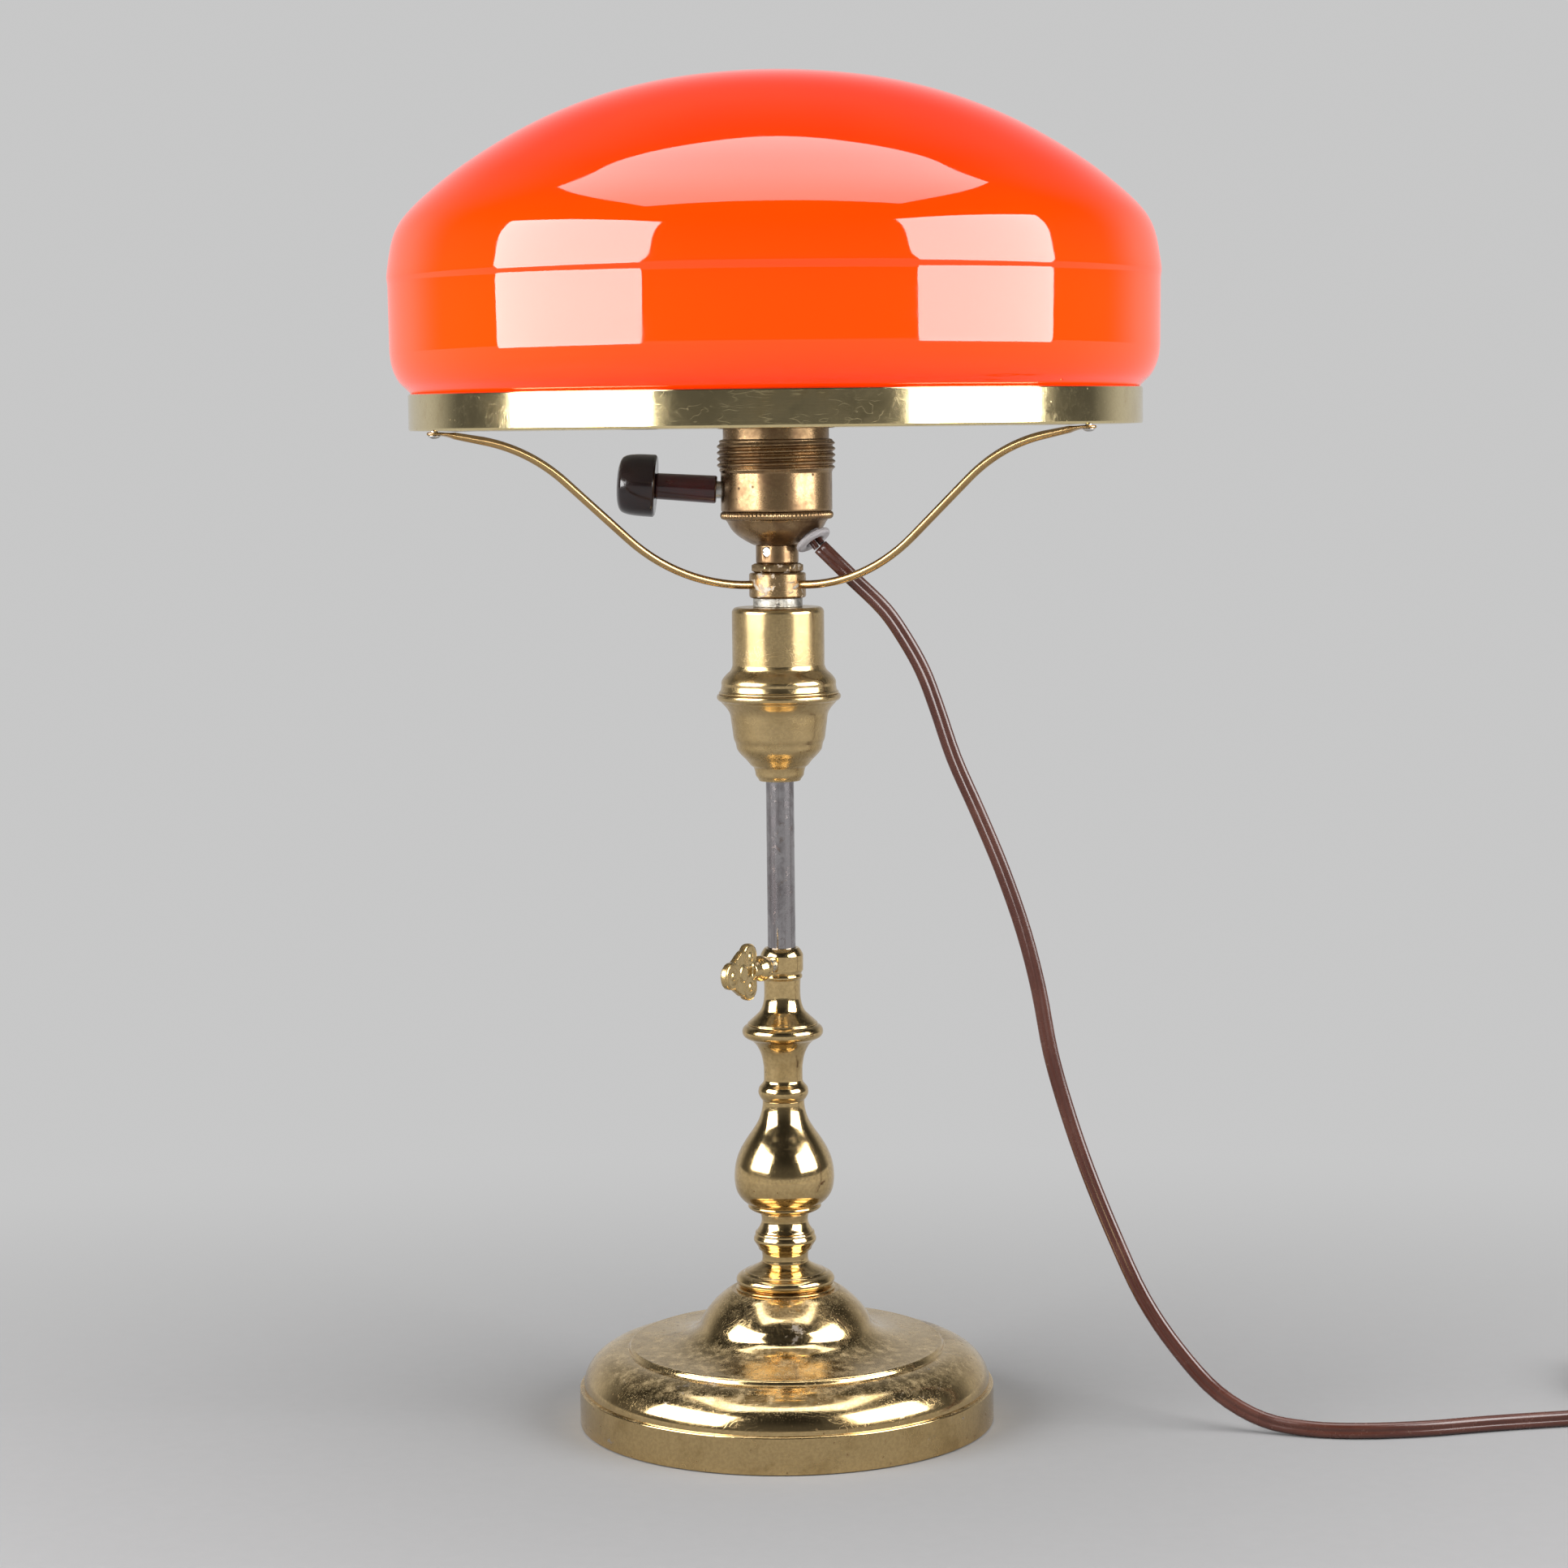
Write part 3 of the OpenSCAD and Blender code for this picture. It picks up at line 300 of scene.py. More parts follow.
def brass(name, bright, dull, dark, rough=0.13, rougher=0.3, tarnish=0.5, specks=0.0, lines=0.0,
          wear=0.5, dust=0.0, worn=0.0, seed=0.0, patch=55.0, dents=0.12, grain=0.25, bloom=0.0):
    """Brass in some state between freshly polished and patinated. Tarnish, specks, turned lines, wear
    (scratches), dust, worn (bare) places, dents, grain and bloom (whitish corrosion) are strengths from 0
    to 1, rough and rougher are the ends of the roughness, and a higher patch gives smaller clouds."""
    s = Shader(name)
    at = s.place(shift=(seed, seed * 0.7, -seed))
    clouds = s.noise(patch, 6, 0.62, at, 0.4)
    cloudy = s.span(clouds, 0.62 - 0.3 * tarnish, 0.82 - 0.22 * tarnish)
    fine = s.noise(900, 3, 0.6, at)
    colour = s.mix(s.span(fine, 0.3, 0.7, 0.0, grain), s.mix(cloudy, bright, dull), dark)
    rough_now = s.maths("ADD", s.span(clouds, 0.3, 0.75, rough, rougher),
                        s.span(fine, 0.35, 0.75, 0.0, 0.2 * grain))
    if specks:
        spots = s.maths("MULTIPLY", s.span(s.cells(260, at), 0.1 + 0.16 * specks, 0.05, 0.0, 1.0),
                        s.span(s.noise(70, 3, 0.5, at), 0.42, 0.6))
        colour = s.mix(s.maths("MULTIPLY", spots, 0.85), colour, dark)
        rough_now = s.maths("ADD", rough_now, s.maths("MULTIPLY", spots, 0.3))
    if worn:
        areas = s.noise(38, 5, 0.7, s.place(shift=(seed + 4, 2, 9)), 0.8)
        bare = s.maths("MULTIPLY", s.span(areas, 0.61, 0.67), s.span(s.noise(420, 3, 0.6, at), 0.34, 0.5))
        bare = s.maths("MULTIPLY", bare, worn)
        colour = s.mix(bare, colour, (0.36, 0.33, 0.31))
        rough_now = s.maths("ADD", rough_now, s.maths("MULTIPLY", bare, 0.25))
    marks = s.scratches(900, 0.012, (0.4, 1.5, 2.6), seed + 1.3)
    rough_now = s.maths("ADD", rough_now, s.maths("MULTIPLY", marks, 0.22 * wear))
    colour = s.mix(s.maths("MULTIPLY", marks, 0.3 * wear), colour, dull)
    normal = s.bump(s.noise(36, 3, 0.5, at), dents, 0.0006)
    normal = s.bump(marks, 0.18 * wear, 0.00006, normal)
    if lines:
        turned = s.noise(1.0, 4, 0.7, s.place((6, 6, 2600), shift=(0, 0, seed)))
        normal = s.bump(turned, lines, 0.00005, normal)
        rough_now = s.maths("ADD", rough_now, s.span(turned, 0.35, 0.7, 0.0, 0.12 * lines))
    metal = 1.0
    if bloom:
        growth = s.noise(210, 6, 0.72, s.place(shift=(seed + 2, 5, 1)), 0.6)
        crust = s.maths("MULTIPLY", s.span(growth, 0.56, 0.62), bloom)
        colour = s.mix(crust, colour, (0.50, 0.47, 0.42))
        rough_now = s.maths("ADD", rough_now, s.maths("MULTIPLY", crust, 0.35))
        normal = s.bump(crust, 0.5, 0.0002, normal)
        metal = s.maths("SUBTRACT", 1.0, s.maths("MULTIPLY", crust, 0.7))
    if dust:
        settled = s.maths("MULTIPLY", s.span(s.upward(), 0.55, 0.98),
                          s.span(s.noise(240, 5, 0.75, at), 0.42, 0.72))
        grains = s.maths("MULTIPLY", s.span(s.cells(1500, at), 0.32, 0.2), s.span(s.upward(), 0.3, 0.9))
        veil = s.maths("MULTIPLY", s.maths("MAXIMUM", settled, s.maths("MULTIPLY", grains, 0.7)), dust)
        colour = s.mix(veil, colour, (0.48, 0.39, 0.26))
        rough_now = s.maths("ADD", rough_now, s.maths("MULTIPLY", veil, 0.45))
        metal = s.maths("SUBTRACT", 1.0, s.maths("MULTIPLY", veil, 0.75))
    return s.done(Base_Color=colour, Metallic=metal, Roughness=rough_now, Normal=normal)


def steel(name, bright, dull, rough=0.22, lines=0.2, rust=0.0, seed=0.0, corroded=0.0, drawn=False):
    """Steel or zinc, with lines round it from turning or along it from drawing."""
    s = Shader(name)
    at = s.place(shift=(seed, -seed, seed))
    clouds = s.noise(140, 5, 0.65, at, 0.5)
    colour = s.mix(s.span(clouds, 0.4, 0.68), bright, dull)
    rough_now = s.span(clouds, 0.3, 0.7, rough, rough + 0.16)
    streaks = s.noise(1.0, 3, 0.7, s.place((1300, 1300, 14) if drawn else (30, 30, 1900)))
    normal = s.bump(streaks, lines, 0.00004)
    if drawn:
        colour = s.mix(s.span(streaks, 0.5, 0.72, 0.0, 0.55), colour, (0.16, 0.13, 0.13))
    if rust:
        spots = s.maths("MULTIPLY", s.span(s.noise(320, 4, 0.7, at, 0.6), 0.6 - 0.1 * rust, 0.7), rust)
        colour = s.mix(spots, colour, (0.10, 0.055, 0.03))
        rough_now = s.maths("ADD", rough_now, s.maths("MULTIPLY", spots, 0.35))
    if corroded:
        bloom = s.maths("MULTIPLY", s.span(s.noise(420, 6, 0.75, at, 0.7), 0.47, 0.6), corroded)
        colour = s.mix(bloom, colour, (0.62, 0.60, 0.55))
        rough_now = s.maths("ADD", rough_now, s.maths("MULTIPLY", bloom, 0.4))
        normal = s.bump(bloom, 0.6, 0.0003, normal)
    return s.done(Base_Color=colour, Metallic=1.0, Roughness=rough_now, Normal=normal)


def moulded(name, colour, other, rough=0.25, grain=0.1, scale=500.0, mottle=140.0, coat=0.0, marks=0.3):
    """Moulded plastic, bakelite, rubber or glazed ceramic."""
    s = Shader(name)
    clouds = s.noise(mottle, 4, 0.6)
    fine = s.noise(scale, 3, 0.6)
    tone = s.mix(s.span(clouds, 0.35, 0.7), colour, other)
    scuff = s.scratches(700, 0.012, (0.2, 1.2), 2.0)
    rough_now = s.maths("ADD", s.span(clouds, 0.3, 0.7, rough, rough + 0.12),
                        s.maths("MULTIPLY", scuff, marks))
    normal = s.bump(fine, grain, 0.00008)
    return s.done(Base_Color=tone, Roughness=rough_now, Normal=normal, IOR=1.5, Coat_Weight=coat)


def felt_material():
    s = Shader("felt")
    fibres = s.noise(2200, 4, 0.8, s.place((1, 1, 3)), 1.5)
    tone = s.mix(s.span(fibres, 0.35, 0.65), (0.012, 0.035, 0.02), (0.03, 0.075, 0.045))
    return s.done(Base_Color=tone, Roughness=0.95, Normal=s.bump(fibres, 0.8, 0.0006),
                  Sheen_Weight=0.4)


def orange_glass():
    """The coloured outer layer of the cased glass, with a painted glow: lighter and yellower low down,
    standing in for light shining through the lower wall; with faint ripples and wipe marks.
    """
    s = Shader("orange_glass")
    drift = s.noise(9, 3, 0.5)
    tone = s.mix(s.span(drift, 0.35, 0.68), (0.88, 0.019, 0.0), (0.92, 0.025, 0.0))
    # painted glow: below 0.375 m the glass is painted a lighter, yellower orange than above 0.43 m, standing
    # in for light shining through the lower wall
    low = s.node("ShaderNodeSeparateXYZ")
    s.put(s.coords, low.inputs[0])
    tone = s.mix(s.span(low.outputs["Z"], 0.375, 0.43, 1.0, 0.0), tone, (0.93, 0.042, 0.0))
    smear = s.noise(1.0, 4, 0.6, s.place((40, 40, 90)), 0.8)
    ripple = s.noise(26, 2, 0.4)
    rough_now = s.span(smear, 0.35, 0.8, 0.02, 0.06)
    normal = s.bump(ripple, 0.03, 0.0012, s.bump(s.noise(700, 2, 0.5), 0.01, 0.00005))
    return s.done(Base_Color=tone, Roughness=rough_now, Normal=normal, IOR=1.5)


def white_glass(name="white_glass", tone_a=(0.83, 0.81, 0.77), tone_b=(0.76, 0.73, 0.68), rough=0.16):
    s = Shader(name)
    clouds = s.noise(30, 4, 0.55)
    return s.done(Base_Color=s.mix(s.span(clouds, 0.35, 0.7), tone_a, tone_b),
                  Roughness=s.span(s.noise(160, 3, 0.6), 0.3, 0.75, rough, rough + 0.12),
                  Normal=s.bump(s.noise(45, 2, 0.4), 0.05, 0.0008), IOR=1.52)


def cord_material():
    s = Shader("cord_pvc")
    clouds = s.noise(60, 4, 0.6)
    tone = s.mix(s.span(clouds, 0.35, 0.7), (0.046, 0.0125, 0.0075), (0.062, 0.019, 0.0115))
    dusty = s.maths("MULTIPLY", s.span(s.noise(700, 4, 0.7), 0.56, 0.72), 0.12)
    tone = s.mix(dusty, tone, (0.20, 0.13, 0.10))
    rough_now = s.maths("ADD", s.span(clouds, 0.3, 0.7, 0.2, 0.3), s.maths("MULTIPLY", dusty, 0.4))
    normal = s.bump(s.noise(120, 2, 0.5), 0.04, 0.0002)
    return s.done(Base_Color=tone, Roughness=rough_now, Normal=normal, IOR=1.53)


M = {
    "foot_brass": brass(
        "foot_brass", (0.66, 0.48, 0.23), (0.50, 0.35, 0.155), (0.24, 0.15, 0.07), 0.08, 0.17,
        tarnish=0.5, specks=0.3, wear=0.6, dust=0.45, worn=0.8, seed=0.3, dents=0.0, grain=0.3),
    "column_brass": brass(
        "column_brass", (0.70, 0.51, 0.245), (0.52, 0.36, 0.155), (0.24, 0.15, 0.065), 0.07, 0.16,
        tarnish=0.55, specks=0.15, lines=0.03, wear=0.4, dust=0.2, seed=1.1, dents=0.0, grain=0.3),
    "cup_brass": brass(
        "cup_brass", (0.62, 0.455, 0.225), (0.48, 0.34, 0.155), (0.24, 0.155, 0.075), 0.14, 0.25,
        tarnish=0.6, specks=0.15, lines=0.03, wear=0.5, dust=0.1, seed=8.1, dents=0.01, grain=0.3),
    "ring_brass": brass(
        "ring_brass", (0.80, 0.66, 0.36), (0.68, 0.53, 0.27), (0.38, 0.27, 0.12), 0.07, 0.14,
        tarnish=0.35, specks=0.04, lines=0.05, wear=0.35, seed=2.4, dents=0.01, grain=0.12),
    "cast_brass": brass(
        "cast_brass", (0.62, 0.46, 0.22), (0.50, 0.35, 0.15), (0.20, 0.125, 0.055), 0.17, 0.32,
        tarnish=0.55, specks=0.1, wear=0.2, seed=3.2, dents=0.06, patch=160, grain=0.2),
    "wire_brass": brass(
        "wire_brass", (0.52, 0.345, 0.155), (0.40, 0.25, 0.11), (0.24, 0.14, 0.065), 0.2, 0.3,
        tarnish=0.5, wear=0.1, seed=4.6, patch=60, dents=0.02, grain=0.06),
    "aged_brass": brass(
        "aged_brass", (0.36, 0.235, 0.12), (0.22, 0.135, 0.07), (0.06, 0.036, 0.022), 0.2, 0.36,
        tarnish=0.7, specks=0.6, lines=0.08, wear=0.6, dust=0.2, seed=5.7, patch=110, dents=0.05),
    "crusted_brass": brass(
        "crusted_brass", (0.42, 0.28, 0.14), (0.28, 0.18, 0.09), (0.09, 0.055, 0.03), 0.2, 0.34,
        tarnish=0.6, specks=0.4, lines=0.06, wear=0.5, seed=7.7, patch=110, dents=0.05, bloom=0.8),
    "plain_brass": brass(
        "plain_brass", (0.72, 0.52, 0.25), (0.56, 0.39, 0.18), (0.25, 0.16, 0.08), 0.22, 0.36,
        tarnish=0.5, lines=0.1, seed=6.3),
    "iron": steel("iron", (0.055, 0.05, 0.047), (0.085, 0.07, 0.06), 0.55, 0.05, rust=0.5, seed=1.0),
    "felt": felt_material(),
    "fastener_steel": steel(
        "fastener_steel", (0.60, 0.59, 0.57), (0.44, 0.43, 0.41), 0.26, 0.3, rust=0.4, seed=2.0),
    "pole_steel": steel(
        "pole_steel", (0.38, 0.36, 0.365), (0.22, 0.20, 0.205), 0.08, 0.05,
        rust=0.5, seed=3.0, drawn=True),
    "zinc": steel(
        "zinc", (0.34, 0.33, 0.30), (0.20, 0.19, 0.17), 0.3, 0.1, rust=0.4, seed=4.0, corroded=0.45),
    "porcelain": moulded(
        "porcelain", (0.80, 0.79, 0.75), (0.74, 0.72, 0.67), 0.12, 0.05, coat=0.4, marks=0.1),
    "stem_bakelite": moulded(
        "stem_bakelite", (0.050, 0.006, 0.005), (0.026, 0.004, 0.004), 0.1, 0.04, coat=0.3, marks=0.1),
    "knob_bakelite": moulded(
        "knob_bakelite", (0.009, 0.004, 0.004), (0.016, 0.006, 0.005), 0.13, 0.04, coat=0.2, marks=0.1),
    "bulb_metal": steel("bulb_metal", (0.74, 0.74, 0.73), (0.62, 0.62, 0.61), 0.24, 0.2, seed=5.0),
    "bulb_opal": white_glass("bulb_opal", (0.86, 0.86, 0.84), (0.82, 0.82, 0.79), 0.22),
    "orange_glass": orange_glass(),
    "white_glass": white_glass(),
    "gland_plastic": moulded(
        "gland_plastic", (0.36, 0.34, 0.35), (0.29, 0.27, 0.27), 0.45, 0.25, mottle=260),
    "cord_pvc": cord_material(),
    "plug_pvc": moulded("plug_pvc", (0.044, 0.0125, 0.0075), (0.056, 0.017, 0.010), 0.3, 0.2, scale=1800),
    "pin_metal": steel("pin_metal", (0.72, 0.70, 0.66), (0.60, 0.58, 0.54), 0.2, 0.15, seed=6.0),
    "tie_rubber": moulded("tie_rubber", (0.015, 0.015, 0.015), (0.03, 0.03, 0.03), 0.6, 0.3),
}


# ---------------------------------------------------------------- CAD nodes that keep their mesh
KEPT = {
    "foot_weight": "iron", "foot_felt": "felt", "foot_washer": "fastener_steel", "foot_nut": "fastener_steel",
    "guide_tube": "plain_brass", "clamp_pad": "plain_brass", "pole": "pole_steel",
    "pole_coupler": "plain_brass",
    "threaded_nipple": "fastener_steel", "grub_screw": "fastener_steel", "porcelain_insert": "porcelain",
    "insulating_sleeve": "porcelain", "contact_shell": "plain_brass", "centre_contact": "plain_brass",
    "terminal_screws": "plain_brass", "inner_leads": "cord_pvc", "switch_spindle": "fastener_steel",
    "cord_cores": "cord_pvc", "coil_tie": "tie_rubber", "plug_pins": "pin_metal",
}


def give_material(node, material):
    NODES[node].data.materials.clear()
    NODES[node].data.materials.append(M[material])


for node, material in KEPT.items():
    give_material(node, material)


# ---------------------------------------------------------------- turned pieces
def outline(node, place=Matrix.Identity(4)):
    """The closed outline, as (radius, height), of a turned CAD node, read off its mesh in the plane y = 0
    of the frame that it was turned in."""
    me, back = NODES[node].data, place.inverted()
    points, index = [], {}
    for v in me.vertices:
        co = back @ v.co
        if abs(co.y) < 5e-6 and co.x > -1e-6:
            p = Vector((max(co.x, 0), co.z))
            near = next((i for i, q in enumerate(points) if (q - p).length < 1.2e-5), None)
            if near is None:
                near = len(points)
                points.append(p)
            index[v.index] = near
    links = {i: set() for i in range(len(points))}
    for e in me.edges:
        a, b = e.vertices
        if a in index and b in index and index[a] != index[b]:
            links[index[a]].add(index[b])
            links[index[b]].add(index[a])
    ends = [i for i in links if len(links[i]) < 2]
    pairs = sorted((abs(points[a].y - points[b].y) * 50 + abs(points[a].x - points[b].x), a, b)
                   for a in ends for b in ends if a < b and b not in links[a])
    for _, a, b in pairs:
        if len(links[a]) < 2 and len(links[b]) < 2:
            links[a].add(b)
            links[b].add(a)
    order, last = [0], None
    while True:
        here = order[-1]
        ahead = [i for i in links[here] if i != last]
        last = here
        if not ahead or ahead[0] == order[0] or len(order) > len(points):
            break
        order.append(ahead[0])
    if len(order) < len(points) * 0.97:
        print("outline", node, len(order), "of", len(points))
    return [points[i] for i in order]


def eased(loop, edge=0.00022, rounds=2):
    """The outline with each bend cut into smaller ones, and each sharp edge broken by no more than edge."""
    for k in range(rounds):
        sharp = 0.5 if k == 0 else 0.28
        out, n = [], len(loop)
        for i, p in enumerate(loop):
            a, b = loop[i - 1] - p, loop[(i + 1) % n] - p
            if p.x < 1e-6 or a.length < 1e-7 or b.length < 1e-7:
                out.append(p)
                continue
            bend = math.pi - a.angle(b)
            if bend < 0.02:
                out.append(p)
                continue
            d = 0.25 * min(a.length, b.length)
            if bend > sharp:
                d = min(d, edge / (k + 1))
            out += [p + a.normalized() * d, p + b.normalized() * d]
        loop = out
    return loop


def blown(loop, low, step=0.0011, rounds=45):
    """The outline in even steps, fair above the height low, without shrinking."""
    points = []
    for a, b in zip(loop, loop[1:] + loop[:1]):
        if a.x < 1e-6 and b.x < 1e-6:
            points.append(a)
            continue
        n = max(1, round((b - a).length / step))
        points += [a.lerp(b, k / n) for k in range(n)]
    share = [0.0 if p.x < 0.004 else min(1.0, max(0.0, (p.y - low) / 0.008)) for p in points]
    for _ in range(rounds):
        for pull in (0.6, -0.61):
            points = [p + pull * w * ((points[i - 1] + points[(i + 1) % len(points)]) / 2 - p) if w else p
                      for i, (p, w) in enumerate(zip(points, share))]
    return points


def lathe(name, loop, segments, material=None):
    """A closed outline turned round the Z axis. A point on the axis becomes one vertex."""
    points, rows = [], []
    for p in loop:
        if p.x < 1e-6:
            rows.append([len(points)] * segments)
            points.append((0, 0, p.y))
        else:
            rows.append([len(points) + k for k in range(segments)])
            points += [(p.x * math.cos(a), p.x * math.sin(a), p.y) for a in angles_round(segments)]
    faces = []
    for i, row in enumerate(rows):
        other = rows[(i + 1) % len(rows)]
        if row[0] == row[1] and other[0] == other[1]:
            continue
        for k in range(segments):
            n = (k + 1) % segments
            face = []
            for v in (row[k], row[n], other[n], other[k]):
                if v not in face:
                    face.append(v)
            faces.append(face)
    return mesh_object(name, points, faces, material)


def settle(o, body, slot, *nodes):
    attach(o, body)
    if nodes:
        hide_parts(*nodes)
    return o


def turned(node, body, slot, segments, edge=0.00022, place=Matrix.Identity(4), look=None):
    o = lathe(node + "_turned", eased(outline(node, place), edge), segments, M[look or slot])
    o.data.transform(place)
    return settle(o, body, slot, node)


def cut(o, tool_points, tool_faces):
    """Cuts a drilled hole into a piece."""
    tool = mesh_object("cutter", tool_points, tool_faces, weighted=False)
    m = o.modifiers.new("hole", "BOOLEAN")
    m.operation, m.solver, m.object = "DIFFERENCE", "EXACT", tool
    o.modifiers.move(len(o.modifiers) - 1, 0)
    with bpy.context.temp_override(object=o, active_object=o):
        bpy.ops.object.modifier_apply(modifier="hole")
    bpy.data.objects.remove(tool)


def drill(start, end, r, n=40):
    """Points and faces of a cutter as round as a drill."""
    a, b = Vector(start), Vector(end)
    q = (b - a).to_track_quat("Z", "Y")
    ring = [q @ Vector((r * math.cos(a), r * math.sin(a), 0)) for a in angles_round(n)]
    return loft([[a + p for p in ring], [b + p for p in ring]])


turned("foot_shell", "base", "foot_brass", 160, 0.0003)
for node in ("column_collar", "column_knop", "column_vase", "column_baluster"):
    turned(node, "base", "column_brass", 96)
clamp = turned("clamp_head", "base", "column_brass", 96)
for node in ("lower_cup", "upper_cover"):
    turned(node, "head", "column_brass", 112, look="cup_brass")
turned("carrier_hub", "head", "aged_brass", 72, look="crusted_brass")
turned("spacer_nut", "head", "zinc", 72)
neck = turned("socket_neck", "head", "aged_brass", 72)
turned("gallery_ring", "head", "ring_brass", 224, 0.0003)
turned("bulb_cap", "head", "bulb_metal", 72)
turned("bulb_glass", "head", "bulb_opal", 72)

glass_low, glass_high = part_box("glass_shade")
glass_outline = blown(eased(outline("glass_shade"), 0.0012), glass_low.z + GLASS_CURL_HEIGHT)
shade = lathe("glass_shade_blown", glass_outline, 224, M["orange_glass"])
settle(shade, "shade", "orange_glass", "glass_shade")
shade.data.materials.append(M["white_glass"])
dome_low_z = glass_high.z - GLASS_DOME_HEIGHT
for f in shade.data.polygons:
    c, n = f.center, f.normal
    inward = n.x * c.x + n.y * c.y + n.z * max(0.0, c.z - dome_low_z) < 0
    f.material_index = 1 if inward else 0


# ---------------------------------------------------------------- lampholder, carrier, key and plug
def shell_of(radii, low, high, bore, segments):
    """A turned wall whose outer radius also depends on the angle.
    radii holds pairs of a height and a function of the angle."""
    angles = angles_round(segments)
    rows = [[(r(a), z) for a in angles] for z, r in radii]
    rows += [[(bore, high)] * segments, [(bore, low)] * segments]
    points = [(r * math.cos(a), r * math.sin(a), z) for row in rows for a, (r, z) in zip(angles, row)]
    n, m = segments, len(rows)
    faces = [(i * n + k, i * n + (k + 1) % n, (i + 1) % m * n + (k + 1) % n, (i + 1) % m * n + k)
             for i in range(m) for k in range(n)]
    return points, faces


def even(r):
    """A radius that is the same at every angle."""
    return lambda a: r


def threaded_shell(turns=5, rows=60, spindle_hole_r=0.0032):
    """The lampholder's body with the helical thread for the shade ring."""
    low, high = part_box("socket_shell")
    crest = high.x
    root, body, top = crest - 0.0008, crest - 0.0012, crest - 0.0025
    valley = root - 0.0002
    thread_low, thread_high = low.z + 0.0133, low.z + 0.0238
    pitch = (thread_high - thread_low) / turns
    radii = [(low.z, even(body - 0.0003)), (low.z + 0.0001, even(body - 0.0001)),
             (low.z + 0.0004, even(body)), (low.z + 0.001, even(body)),
             (thread_low - 0.0006, even(body)), (thread_low - 0.0003, even(body))]
    for j in range(rows + 1):
        z = thread_low + (thread_high - thread_low) * j / rows
        grow = min(1, 1.6 * turns * j / rows, 1.6 * turns * (rows - j) / rows)

        def ridge(a, z=z, grow=grow):
            wave = 0.5 - 0.5 * math.cos(2 * math.pi * ((z - thread_low) / pitch - a / (2 * math.pi)))
            return valley + grow * (crest - valley) * wave ** 0.8
        radii.append((z, ridge))
    radii += [(thread_high + 0.0003, even(root - 0.0012)), (thread_high + 0.0006, even(top)),
              (thread_high + 0.001, even(top)), (high.z - 0.0005, even(top)),
              (high.z - 0.0002, even(top - 0.0001)), (high.z, even(top - 0.0003))]
    shell = mesh_object("socket_shell_threaded", *shell_of(radii, low.z, high.z, body - 0.0009, 128),
                        M["aged_brass"])
    tilt = SWITCH @ Matrix.Translation((0, 0, 0.014))
    cut(shell, *drill(tilt @ Vector((0, 0, 0)), tilt @ Vector((0, 0, 0.008)), spindle_hole_r))
    settle(shell, "head", "aged_brass", "socket_shell")


def socket_cap(wall=0.72, bore_r=4.95, gland_hole_r=0.0036):
    """The domed cap, in millimetres until it is turned, drilled for the gland."""
    z, top = cap_low.z / MM, cap_high.z / MM
    bowl = ((7.8, 0), (9.3, 0.7), (11.7, 2.1), (13.6, 3.5), (15.1, 5), (16, 6.4), (16.7, 7.7),
            (cap_high.x / MM, (cap_high.z - cap_low.z) / MM))
    outer = curve_through([Vector((x, z + up)) for x, up in bowl], 4)
    inner = [Vector((p.x - wall, min(p.y + wall, top))) for p in outer[:-2]]
    loop = [Vector((bore_r, z))] + outer + [Vector((16.6, top))] + inner[::-1] + [Vector((bore_r, z + 0.9))]
    cap = lathe("socket_cap_turned", [p * MM for p in loop], 96, M["aged_brass"])
    cut(cap, *drill(GLAND @ Vector((0, 0, -0.004)), GLAND @ Vector((0, 0, 0.004)), gland_hole_r))
    settle(cap, "head", "aged_brass", "socket_cap")


def milled_rim(teeth=84, rows=12):
    """The rim between cap and body, with slightly slanting teeth."""
    low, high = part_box("socket_rim")
    big, small = high.x, high.x - 0.0004
    radii = []
    for j in range(rows + 1):
        t = j / rows
        swell = math.sin(math.pi * t) ** 0.5 if 0 < t < 1 else 0
        r0 = small - 0.0007 + 0.0007 * swell

        def tooth(a, r0=r0, swell=swell, t=t):
            return r0 + (big - small) * swell * (0.5 + 0.5 * math.cos(teeth * a + 1.2 * t))
        radii.append((low.z + (high.z - low.z) * t, tooth))
    rim = mesh_object("socket_rim_milled", *shell_of(radii, low.z, high.z, small - 0.0014, 504),
                      M["aged_brass"])
    settle(rim, "head", "aged_brass", "socket_rim")


def lock_nut(bevel=0.0006, bore_r=0.00495):
    """A hexagonal nut whose corners are turned off above and below."""
    low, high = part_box("lock_nut")
    flat_r = high.x * math.cos(math.pi / 6)

    def hexagon(most):
        return lambda a: min(most, flat_r / math.cos(a % (math.pi / 3) - math.pi / 6))
    z0, z1 = low.z, high.z
    radii = [(z0, hexagon(flat_r * 1.005)), (z0 + bevel, hexagon(high.x)),
             ((z0 + z1) / 2, hexagon(high.x)), (z1 - bevel, hexagon(high.x)),
             (z1, hexagon(flat_r * 1.005))]
    nut = mesh_object("lock_nut_cut", *shell_of(radii, z0, z1, bore_r, 120), M["crusted_brass"])
    settle(nut, "head", "aged_brass", "lock_nut")


def wire_points(corners, bends, steps=14):
    """A line in a plane, straight between its corners and bent to a radius at each."""
    out = [Vector(corners[0])]
    for i in range(1, len(corners) - 1):
        p, q, r = (Vector(c) for c in corners[i - 1:i + 2])
        d, e = (q - p).normalized(), (r - q).normalized()
        turn = math.atan2(d.x * e.y - d.y * e.x, d.dot(e))
        start = q - d * bends[i] * math.tan(abs(turn) / 2)
        side = math.copysign(1, turn) * Vector((-d.y, d.x))
        out += [start + bends[i] * (math.sin(a) * d + (1 - math.cos(a)) * side)
                for a in [abs(turn) * k / steps for k in range(steps + 1)]]
    return out


